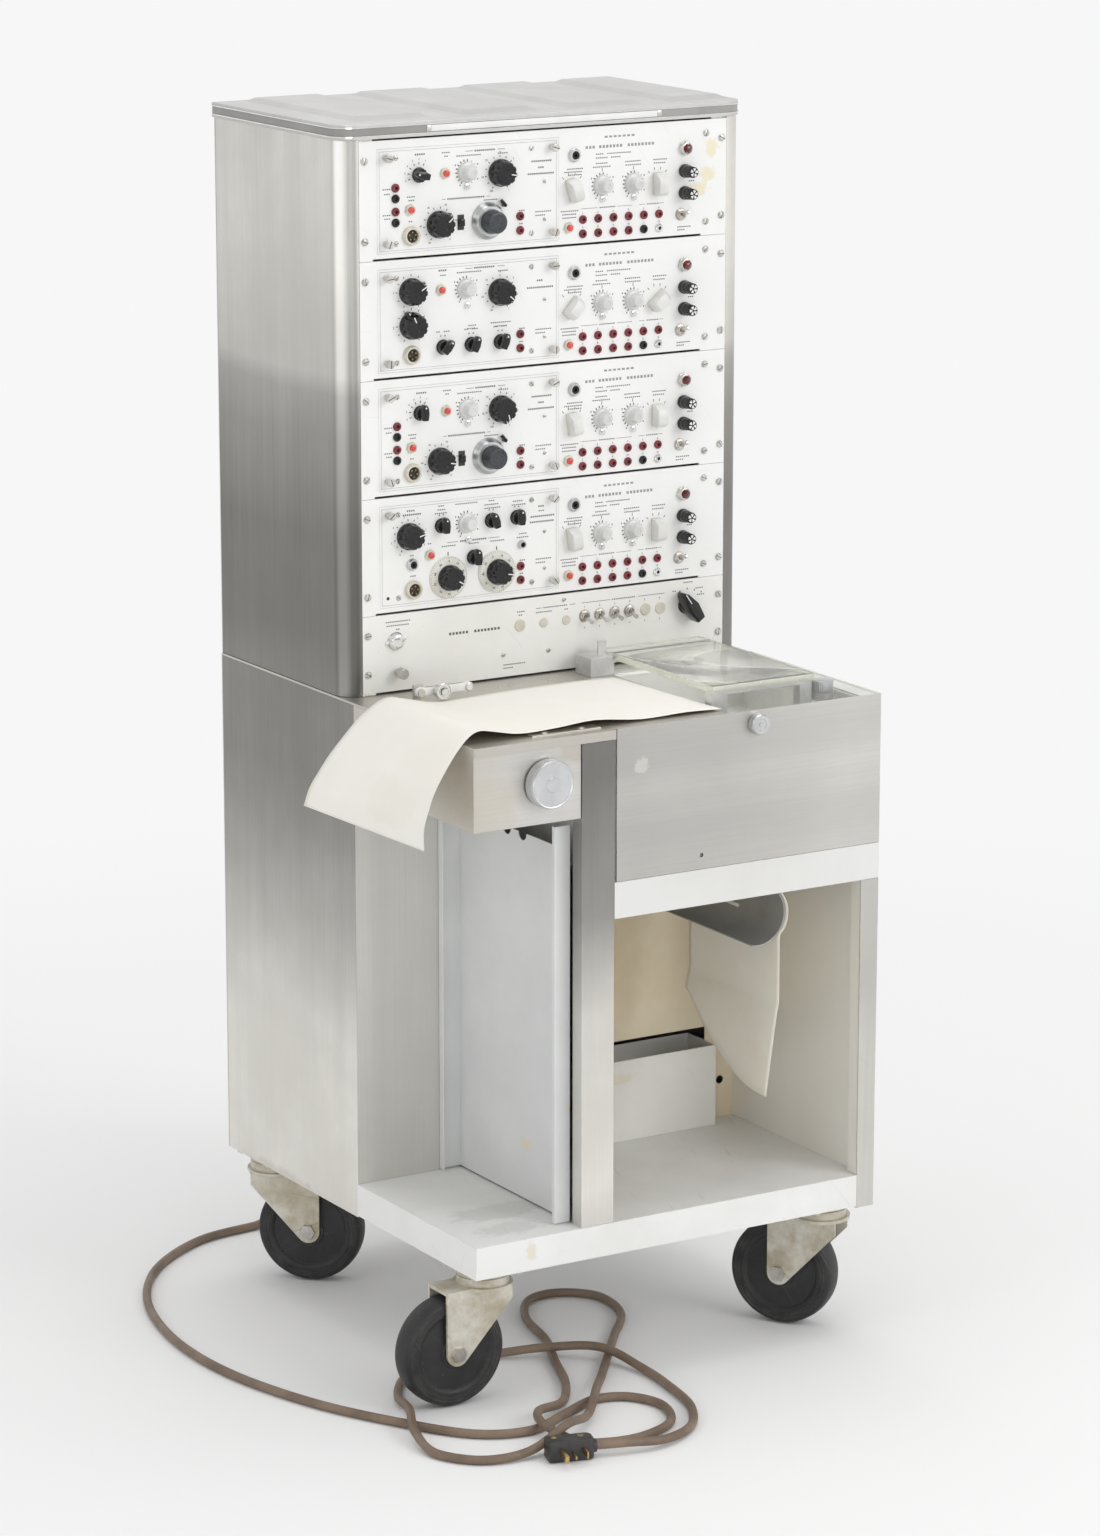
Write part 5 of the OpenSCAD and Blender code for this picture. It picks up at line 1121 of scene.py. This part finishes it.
def build_writer_panel():
    z = RACK_Z
    knob_place = on_panel(SELECTOR, z, 35, MOVING_GAP)
    add("chart_selector_knob", bar_knob(), knob_place)
    add("chart_selector_line", block((-0.5, 6, 19.7), (0.5, 19.5, 20.0)), knob_place)
    for at in ((181.8, 75.2), (191.9, 77.4), (201.9, 75), (211.2, 71.8)):
        add("legend_ticks", block((-0.8, -0.8, 0), (0.8, 0.8, 0.1)), on_panel(at, z))
    for k, at in enumerate(WRITER_TOGGLES):
        add("toggle_nuts", toggle_nut(), on_panel(at, z, 10 + 8 * k))
        add("writer_lever_%d" % (k + 1), toggle_lever(), on_panel(at, z) @ LEVER_PIVOT @ turned(16, "X"))
    for k in range(6):
        x = 51.2 + 20.5 * k
        numeral(0, 3.0, (x, 46), z)
        numeral(k + 1, 3.4, (x, 70.6), z)
    rules(z, (47.8, 86, 75.4), (124.4, 160.6, 75.4), (-13.8, -6, 75.4), (31.2, 38.8, 75.4))
    dashes(z, (-130, -102.5, 58), (-96.9, -63, 58), thick=3.0, pitch=4.4)
    dashes(z, (88, 122, 75.4), (-212, -179.4, 80), (-211, -181.6, 75.6), (-198.8, -194, 71), (-39.7, -28.4, 74),
           (-37.5, -31, 70), (-4.4, 29, 75.4), (-14.4, 8.1, 70.6), (23.8, 30.6, 70.6), (-58, -27.8, 14),
           (-58, -45, 10.2), (186, 200, 85), (171, 178, 76), (203, 215, 77), (205, 215, 69))
    for x, height, r in [(-35.6, 58, 7), (-3.9, 58, 5.5), (26.4, 57.8, 5.5), (134, 59, 7), (154.5, 58.4, 7)]:
        plug = lathe([(0, 0), (r, 0), (r, 0.7), (r * 0.92, 1.3), (r * 0.6, 1.6), (0, 1.7)])
        add("blanking_plugs", plug, on_panel((x, height), z))
    cap = lathe([(0, 0), (10.5, 0), (10.5, 1.2), (9.5, 2.0), (9.2, 4.2), (7.6, 6.8), (4, 7.8), (0, 7.9)], 48)
    ears = [block((x, -1.7, 0), (x + 3.8, 1.7, 1.6), 0.4) for x in (-13.4, 9.6)]
    add("socket_cap", joined(cap, *ears), on_panel((-199, 57.6), z, 10))
    add("captive_screws", joined(bar(3.5, 0, 6), knurled(6.2, 5.9, 16.9, 22, 0.4)), on_panel((-197, 22), z))
    for at in ((-57.7, 25.8), (2.4, 24.9), (23.2, 82)):
        put_screw(at, z, 2.6, 1.8, 20)
    for x in (-EAR_X, EAR_X):
        for height in (EAR_Z, 2 * UNIT - EAR_Z):
            put_screw((x, height), z, 4.2, 2.6, 0.25 * x + height)


FIXED = {
    "cream": "socket_rings lever_knobs_plate blanking_plugs", "dark": "socket_insulators jack_bores slide_frames",
    "black": "black_jacks phone_centres fuse_holders slide_switches brake_levers pointer_knobs",
    "chrome": "bare_jacks lock_nuts socket_cap", "plated": "lamp_bezels toggle_nuts fixed_power_levers captive_screws",
    "button": "buttons", "strip": "fuse_tips large_knobs_line pointer_knobs_dot", "ivory": "lever_knobs",
    "turned": "ten_turn_discs", "ten": "ten_turn_discs_grip", "skirt_ivory": "numbered_skirts",
    "ink": "ten_turn_discs_marks skirt_figures index_marks legend_ticks legend_figures", "grey_ink": "legend_dashes",
    "title_ink": "legend_titles", "edge_shade_grey": "preamplifier_edge_shade_lines"}
MOVING = {
    "cal_button": {"moving_button": "button"}, "power_toggle": {"power_lever": "plated"},
    "slide_switch": {"slide_switch_dressed": "black"},
    "input_selector": {"input_selector_knob": "black", "input_selector_knob_dot": "strip"},
    "vernier_knob": {"vernier_knob_dressed": "white"},
    "sensitivity_knob": {"sensitivity_knob_dressed": "black", "sensitivity_knob_dressed_line": "strip"},
    "balance_knob": {"balance_knob_dressed": "black", "balance_knob_dressed_line": "strip"},
    "ten_turn_dial": {"ten_turn_dial_disc": "turned", "ten_turn_dial_disc_marks": "ink",
                      "ten_turn_dial_disc_grip": "ten"},
    "polarity_switch": {"polarity_lever": "ivory", "polarity_lever_plate": "cream"},
    "filter_switch": {"filter_lever": "ivory", "filter_lever_plate": "cream"},
    "gain_knob": {"gain_knob_dressed": "white"}, "position_knob": {"position_knob_dressed": "white"},
    "chart_selector": {"chart_selector_knob": "black", "chart_selector_line": "strip"},
    **{"writer_toggle_%d" % k: {"writer_lever_%d" % k: "plated"} for k in range(1, 5)}}


def finish_moving(body, pieces):
    """Finishes a body's pieces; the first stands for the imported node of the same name."""
    node = body
    for piece, finish in pieces.items():
        finish_piece(piece, finish, body, node)
        node = None


def finish_controls():
    """Finishes every control and legend that the panels were given."""
    for finish, pieces in FIXED.items():
        for piece in pieces.split():
            finish_piece(piece, finish)
    for body, pieces in MOVING.items():
        finish_moving(body, pieces)
    finish_piece("red_jacks", "red", node="panel_fittings")
    finish_piece("panel_screws_dressed", "plated", node="panel_screws")
    finish_piece("large_knobs", "black", node="black_knobs")
    finish_piece("skirt_knobs", "white", node="white_knobs")
    finish_piece("lamp_jewels", "jewel", smooth=5)
    for piece, finish in (("socket_pins", "brass"), ("button_nuts", "cream"), ("phone_rings", "turned"),
                          ("screw_slot_shade", "dark")):
        finish_piece(piece, finish)


# The mains lead

LEAD_R = 5.0
LEAD_ROUTE = [
    (-60, 328.5, 215), (-60, 366, 208), (-64, 412, 160), (-82, 421, 90), (-112, 415, 26), (-170, 410, 5),
    (-258, 394, 5), (-350, 326, 5), (-414, 222, 5), (-446, 90, 5), (-444, -40, 5), (-410, -170, 5), (-358, -275, 5),
    (-304, -351, 5), (-245, -374, 5), (-191, -352, 5), (-137, -328, 5), (-97, -340, 5), (-79, -383, 5),
    (-102, -433, 5), (-159, -454, 5), (-214, -438, 5), (-238, -396, 15), (-222, -351, 15), (-172, -319, 6),
    (-135, -267, 5), (-108, -200, 5), (-79, -131, 5), (-61, -57, 5), (-26, -4, 5), (18, 2, 5), (53, -34, 5),
    (44, -98, 5), (-4, -160, 5), (-46, -214, 5), (-88, -268, 6), (-128, -322, 16), (-174, -377, 10), (-224, -417, 22),
    (-284, -435, 8), (-338, -424, 5), (-370, -380, 5), (-364, -325, 11), (-342, -274, 16), (-320, -210, 7),
    (-280, -156, 5), (-220, -130, 5), (-160, -144, 6), (-108, -180, 16), (-56, -214, 17), (-36, -270, 6),
    (-40, -336, 5), (-54, -402, 5), (-88, -454, 5), (-138, -480, 8), (-182, -477, 12), (-221, -464, 12)]
PLUG_PLACE = shift(-246, -456.7, 0) @ turned(-16)
PLUG_TOP = 23.6


def smooth_line(points, steps):
    """A smooth line through the points, with this many steps between each two."""
    points = [Vector(p) for p in points]
    line = []
    for i in range(len(points) - 1):
        a, b, c, d = points[max(0, i - 1)], points[i], points[i + 1], points[min(len(points) - 1, i + 2)]
        for k in range(steps):
            u = k / steps
            line.append(0.5 * (2 * b + (c - a) * u + (2 * a - 5 * b + 4 * c - d) * u ** 2
                               + (3 * b - a - 3 * c + d) * u ** 3))
    return line + [points[-1]]


def run_lead():
    """The lead as a round curve; also where it leaves the console, and its length."""
    line = [Vector((p.x, p.y, max(p.z, LEAD_R))) * MM for p in smooth_line(LEAD_ROUTE, 8)]
    curve = bpy.data.curves.new("mains_lead", "CURVE")
    curve.dimensions = "3D"
    spline = curve.splines.new("POLY")
    spline.points.add(len(line) - 1)
    for point, place in zip(spline.points, line):
        point.co = (*place, 1)
    curve.bevel_depth = LEAD_R * MM
    curve.bevel_resolution = 4
    curve.use_fill_caps = True
    curve.materials.append(FINISHES["lead"])
    lead = settle(linked("mains_lead", curve), "console", "mains_cord")
    return lead, line[0], sum((b - a).length for a, b in zip(line, line[1:]))


def build_gland():
    profile = [(0, -7), (6.6, -7), (6.6, 0), (9.4, 0), (10, 0.6), (10, 3.4), (9.4, 4)]
    for k in range(6):
        z, r = 5 + 5 * k, 8.4 - 0.38 * k
        profile += [(r - 1.1, z), (r, z + 0.7), (r, z + 3.1), (r - 1.1, z + 3.8)]
    profile += [(5.8, 35.4), (5.4, 36), (0, 36)]
    add("lead_gland", lathe(profile, 36), shift(-60, 292.5, 215) @ turned(-90, "X"))
    return finish_piece("lead_gland", "plug", node="cord_gland")


def build_plug():
    add("plug_body", prism([(-26, -12), (22, -12), (26, -7.5), (26, 7.5), (22, 12), (-26, 12)], 0, 24, 2.2), PLUG_PLACE)
    collar = lathe([(0, 0), (8.4, 0), (8.4, 1.2), (7.8, 2), (7.4, 5), (0, 5)], 28)
    add("plug_body", collar, PLUG_PLACE @ shift(24.5, 0, 12) @ turned(90, "Y"))
    for x in (-17, 13):
        place = PLUG_PLACE @ shift(x, 3, PLUG_TOP)
        add("plug_screws", slotted_screw(3.4, 1.2), place)
        add("plug_screw_slot_shade", screw_slot(3.4, 1.2), place @ turned(40 + x))
    for x, length, wide, tall in ((-14, 24, 4, 8), (-1, 17, 2, 4), (12, 17, 2, 8)):
        add("plug_pins", block((x, -12 - length, 8), (x + wide, -11.8, 8 + tall), 0.45), PLUG_PLACE)
    return [finish_piece("plug_body", "plug", node="mains_plug"), finish_piece("plug_screws", "brass"),
            finish_piece("plug_screw_slot_shade", "dark"), finish_piece("plug_pins", "brass")]


# Papers

PAPER = 0.4
CHART_W, CHART_FRONT, CHART_STEPS, FLAT_ROWS = 203.0, -270.5, 24, 27
HANGING_W, HANGING_FRONT, TORN_ROWS = 188.0, -273.5, 5
TROUGH_X, TROUGH_Z, TROUGH_R = 118.4, 516, 37.4


def sheet_of(name, rows, finish, under, node):
    """A thin sheet over rows of points, with one finish above and another below."""
    bm = bmesh.new()
    grid = [[bm.verts.new(p * MM) for p in row] for row in rows]
    for a, b in zip(grid, grid[1:]):
        for k in range(len(a) - 1):
            bm.faces.new((a[k], a[k + 1], b[k + 1], b[k]))
    bmesh.ops.recalc_face_normals(bm, faces=bm.faces)
    mesh = bpy.data.meshes.new(name)
    bm.to_mesh(mesh)
    bm.free()
    mesh.shade_smooth()
    mesh.materials.append(FINISHES[finish])
    mesh.materials.append(FINISHES[under])
    sheet = settle(linked(name, mesh), "console", node)
    skin = sheet.modifiers.new("thickness", "SOLIDIFY")
    skin.thickness = PAPER * MM
    skin.offset = 0
    skin.material_offset = 1
    skin.material_offset_rim = 0


FRONT_EDGE = [(66, 1), (20, 3), (-40, 2), (-100, 8), (-150, 5), (-195, 4), (-228, 10), (-246, 13), (-260, 8),
              (-276, -8), (-292, -30), (-304, -50), (-311, -68), (-317, -88), (-317, -112)]
BACK_EDGE = [(52, 1), (10, 2), (-42, 2), (-95, 1.2), (-145, 0), (-190, 0.2), (-225, 8), (-244, 12), (-260, 8),
             (-282, -6), (-304, -27), (-322, -46), (-336, -64), (-347, -80), (-354, -99)]
TORN = [98, 93, 77, 50, 15]
LEAN = 0.14


def lay_chart():
    """The sheet on the deck, curling over its left edge."""
    front = smooth_line([(x, 0, z) for x, z in FRONT_EDGE], 4)
    back = smooth_line([(x, 0, z) for x, z in BACK_EDGE], 4)
    rows = []
    for k, (p, q) in enumerate(zip(front, back)):
        row = []
        for j in range(CHART_STEPS + 1):
            s = j / CHART_STEPS
            at = p.lerp(q, s)
            sag = 1 - 0.5 * sin(pi * s) if k < FLAT_ROWS else 1
            row.append(Vector((at.x, CHART_FRONT + CHART_W * s, DECK_H + 0.75 + at.z * sag)))
        rows.append(row)
    sheet_of("chart_on_deck", rows, "paper", "under",
             "chart_paper")


def hang_chart():
    """The length that comes over the trough and hangs down, with its torn lower edge leaning to the left."""
    path = [(TROUGH_R * cos(radians(a)), TROUGH_R * sin(radians(a))) for a in range(75, -46, -15)]
    path += [(26.1, -45), (26.0, -75), (25.9, -104), (23.6, -116)]
    line = smooth_line([(x, 0, z) for x, z in path], 4)
    tear = smooth_line([(0, j, t) for j, t in enumerate(TORN)], 8)
    rows = []
    for k in range(len(line) + TORN_ROWS):
        at = line[min(k, len(line) - 1)]
        row = []
        for j, torn in enumerate(tear):
            s = j / (len(tear) - 1)
            fall = torn.z * max(0, k - len(line) + 1) / TORN_ROWS
            x = TROUGH_X + at.x - LEAN * fall - 0.9 * sin(2.6 * pi * s + 0.4) * min(1, fall / 30)
            row.append(Vector((x, HANGING_FRONT + HANGING_W * s, TROUGH_Z + at.z - fall)))
        rows.append(row)
    strip = block((-2, -19.5, 0), (2, 19.5, 0.4), 0.1)
    add("trough_label", strip, shift(150.0, -177, 503.5) @ turned(-62, "Y") @ turned(16, "X"))
    finish_piece("trough_label", "aged")
    sheet_of("hanging_chart", rows, "aged", "aged", "hanging_paper")


# The writing deck

DECK_H = 760.0
FRONT_Y = edges_of("side_panels")[0].y
POST = shift(216, -248.5, 0)
DRIVE_KNOB = shift(-176, FRONT_Y - 0.5, 712) @ turned(90, "X")
THUMB_NUT = shift(98, FRONT_Y - 0.3, 746) @ turned(90, "X")
ARM_Z = 771.2
ARM = shift(-200, -56.5, ARM_Z) @ turned(90, "X")
ARM_WHEEL = shift(-175, -62, ARM_Z) @ turned(90, "X")


def build_deck():
    for node, (finish, edge) in {"deck_plate": ("deck", 0.5), "drive_box": ("drive", 0.6), "writer_well": ("well", 0.5),
                                 "writer_cover": ("cover", 0.5), "plate_bracket": ("cast", 1.2)}.items():
        refined(node, finish, edge)
    low, high = edges_of("clear_plate")
    add("clear_plate_dressed", block(tuple(low), tuple(high), 0.7))
    plate = finish_piece("clear_plate_dressed", "acrylic", node="clear_plate")
    plate.data.materials.append(FINISHES["acrylic_edge"])
    for face in plate.data.polygons:
        if abs(face.normal.z) < 0.8:
            face.material_index = 1
    plate.visible_shadow = False
    add("knurled_post", knurled(12.3, DECK_H + 0.05, 774.2, 34, 0.35), POST)
    add("knurled_post", lathe([(0, 774.0), (10.8, 774.0), (10.4, 774.6), (4, 774.6), (3.4, 774.3), (0, 774.3)]), POST)
    finish_piece("knurled_post", "turned")


def build_drive_knob():
    """The knob with its shaft and its roller, which turn together."""
    rim = knurled(27, 0, 13.2, 90, 0.35, 0.5)
    add("drive_knob_rim", joined(rim, bar(5, -266.5, 0.1), bar(20, -140, -30, 48, 1.0)), DRIVE_KNOB)
    add("drive_knob_face", lathe([(0, 13), (26.3, 13), (25.8, 14.6), (25.2, 15), (24.2, 14.7), (23.6, 14.2),
                                  (8.4, 13.6), (7.8, 14.4), (6.9, 14.6), (0, 14.6)], 96), DRIVE_KNOB)
    finish_moving("drive_knob", {"drive_knob_rim": "turned", "drive_knob_face": "knob_face"})


def build_pressure_arm():
    arm = prism([(-6, -2.6), (-4.2, -4.6), (0, -6), (8, -4.5), (54, -4.5), (62, -5.8), (66.6, -4.2), (68, 0),
                 (66.6, 4.2), (62, 5.8), (54, 4.5), (8, 4.5), (0, 6), (-4.2, 4.6), (-6, 2.6)], 0, 5, 0.8)
    add("pressure_arm_bar", arm, ARM)
    add("pressure_arm_pins", lathe([(0, 4), (3.6, 4), (3.6, 5.6), (2.6, 6.4), (0, 6.6)], 24), ARM)
    add("pressure_arm_pins", bar(2.5, 0, 16.5), ARM @ shift(25, 0, 0))
    for x, profile in ((25, [(0, 15.4), (4.5, 15.4), (4.5, 16.2), (3.4, 17), (0, 17)]),
                       (62, [(0, 4.8), (4.6, 4.8), (4.6, 6.6), (3.8, 7.6), (0, 7.8)])):
        add("pressure_arm_pins", lathe(profile, 28), ARM @ shift(x, 0, 0))
    finish_moving("pressure_arm", {"pressure_arm_bar": "white_paint", "pressure_arm_pins": "chrome"})
    wheel = lathe([(2.56, 0), (9.5, 0), (9.5, 8.3), (9.1, 8.8), (8.2, 8.9), (7.9, 8.2), (6.4, 8.2), (6.1, 8.9),
                   (5.2, 8.9), (4.9, 8.4), (2.56, 8.4), (2.56, 0)], 56)
    add("pressure_wheel_dressed", wheel, ARM_WHEEL)
    finish_moving("pressure_wheel", {"pressure_wheel_dressed": "chrome"})


def build_thumb_nut():
    head = lathe([(0, 8.8), (11.6, 8.8), (10.8, 10.1), (6.8, 10.1), (6.2, 9.3), (2.6, 9.1), (2.4, 10), (0, 10.1)], 48)
    add("thumb_nut_dressed", joined(knurled(12, 0, 9, 36, 0.4), head, bar(5, -8, 0.1, 20)), THUMB_NUT)
    finish_moving("thumb_nut", {"thumb_nut_dressed": "turned"})


# The castors

CASTORS = {"front_left": (-228, -241, 180), "front_right": (228, -241, 124),
           "back_left": (-228, 246, -43), "back_right": (228, 246, 70)}
AXLE_NUT = 21.8
NUT_R, AXLE_OUT, AXLE_Z = 9.8, 44, 63.5
BOLT_X, BOLT_Y, BOLT_Z = 28, 33, 154
WHEEL_HALF = [(6.06, 17), (17.4, 17), (18, 16.4), (18.4, 14.2), (24, 13.4), (43, 12.6), (45.6, 15.4), (48.4, 16),
              (50.6, 15.8), (51.0, 15.3), (52.2, 15.3), (52.6, 15.8), (54.8, 15.8), (55.2, 15.3), (56.4, 15.2),
              (56.8, 15.6), (59.4, 15.2), (61.6, 13.4), (62.7, 10.5), (63.5, 3)]


def build_castors():
    """Bolts, forks with bright axle nuts, and wheels turned from one half's profile."""
    refined("castor_plates", "zinc", 0.6)
    bolt = joined(hex_nut(6.2, -3.4, 0.2, 0.5), bar(3.2, -5.6, 0, 14, 0.5))
    wheel = lathe(WHEEL_HALF + [(r, -z) for r, z in reversed(WHEEL_HALF)] + WHEEL_HALF[:1], 96)
    for name, (x, y, turn) in CASTORS.items():
        for dx in (-BOLT_X, BOLT_X):
            for dy in (-BOLT_Y, BOLT_Y):
                add("castor_bolts", bolt, shift(x + dx, y + dy, BOLT_Z))
        fork = refined("fork_" + name, "zinc", 0.9, "swivel_" + name)
        place = shift(x, y, 0) @ turned(turn) @ shift(AXLE_OUT, 0, AXLE_Z) @ turned(90, "X")
        fork.data.materials.append(FINISHES["plated"])
        back_to_axle = place.inverted()
        for face in fork.data.polygons:
            at = back_to_axle @ (face.center / MM)
            if hypot(at.x, at.y) < NUT_R and abs(at.z) > AXLE_NUT:
                face.material_index = 1
        node = "wheel_" + name
        add(node + "_dressed", wheel, place)
        finish_piece(node + "_dressed", "tyre", node, node, smooth=40)
    finish_piece("castor_bolts", "plated")


# The cabinet

CABINET = {
    "side_panels": ("side", 0.6), "back_panels": ("back", 0), "base_tray": ("tray", 0.8), "bulkhead": ("tan", 0.4),
    "middle_post": ("post", 0.6), "chute_panel": ("chute", 0.4), "storage_shelf": ("shelf", 0.6),
    "storage_bin": ("bin", 0.6), "paper_guide": ("trough", 0.3), "upper_shell": ("shell", 0.6),
    "rack_rails": ("plated", 0.3), "driver_amplifiers": ("panel", 0.5), "preamplifiers": ("panel", 0.5),
    "writer_control": ("writer", 0.5)}


def build_cabinet():
    for node, (finish, edge) in CABINET.items():
        refined(node, finish, edge)


def lid_outline(inset):
    """The lid's plan, rounded at its front corners."""
    low, high = edges_of("lid")
    x, y0, y1, r = high.x - inset, low.y + inset, high.y - inset, 26 - inset
    line = [(x, y1), (-x, y1)]
    line += [(-x + r - r * cos(radians(a)), y0 + r - r * sin(radians(a))) for a in range(0, 91, 9)]
    line += [(x - r + r * sin(radians(a)), y0 + r - r * cos(radians(a))) for a in range(0, 91, 9)]
    return line


def ring(inset, depth, z0, z1):
    """A band round the lid's plan."""
    bm = bmesh.new()
    face = bm.faces.new([bm.verts.new((x, y, z0)) for x, y in lid_outline(inset)])
    bmesh.ops.inset_region(bm, faces=[face], thickness=depth - inset, use_even_offset=True, use_boundary=True)
    bmesh.ops.delete(bm, geom=[face], context="FACES_ONLY")
    raised = bmesh.ops.extrude_face_region(bm, geom=bm.faces[:], use_keep_orig=True)["geom"]
    bmesh.ops.translate(bm, verts=[v for v in raised if isinstance(v, bmesh.types.BMVert)], vec=(0, 0, z1 - z0))
    return closed(bm)


def build_lid():
    refined("lid", "lid", 0.8)
    low = edges_of("lid")[0]
    add("lid_band", ring(0.4, 2.0, low.z + 3.9, low.z + 12.7))
    for z in (low.z + 2.7, low.z + 12.6):
        add("lid_trims", rounded(ring(-0.4, 1.2, z, z + 1.3), 0.4))
    add("lid_strip", block((-150, low.y - 0.3, low.z + 4.8), (146, low.y + 1.0, low.z + 11.8), 0.3))
    for x in (146, -156):
        add("lid_clips", block((x, low.y - 0.35, low.z + 4.6), (x + 6, low.y + 1.0, low.z + 12.0), 0.3))
    finish_piece("lid_band", "grey_band")
    finish_piece("lid_strip", "strip")
    finish_piece("lid_trims", "chrome")
    finish_piece("lid_clips", "plated")


# The making

set_camera()
FINISHES = make_finishes()
lead, lead_exit, lead_length = run_lead()
gland = build_gland()
plug = build_plug()
set_light()
lay_floor()

build_cabinet()
build_lid()
build_deck()
build_drive_knob()
build_pressure_arm()
build_thumb_nut()
lay_chart()
hang_chart()
for number in range(4):
    build_module(number)
build_writer_panel()
finish_controls()
build_castors()
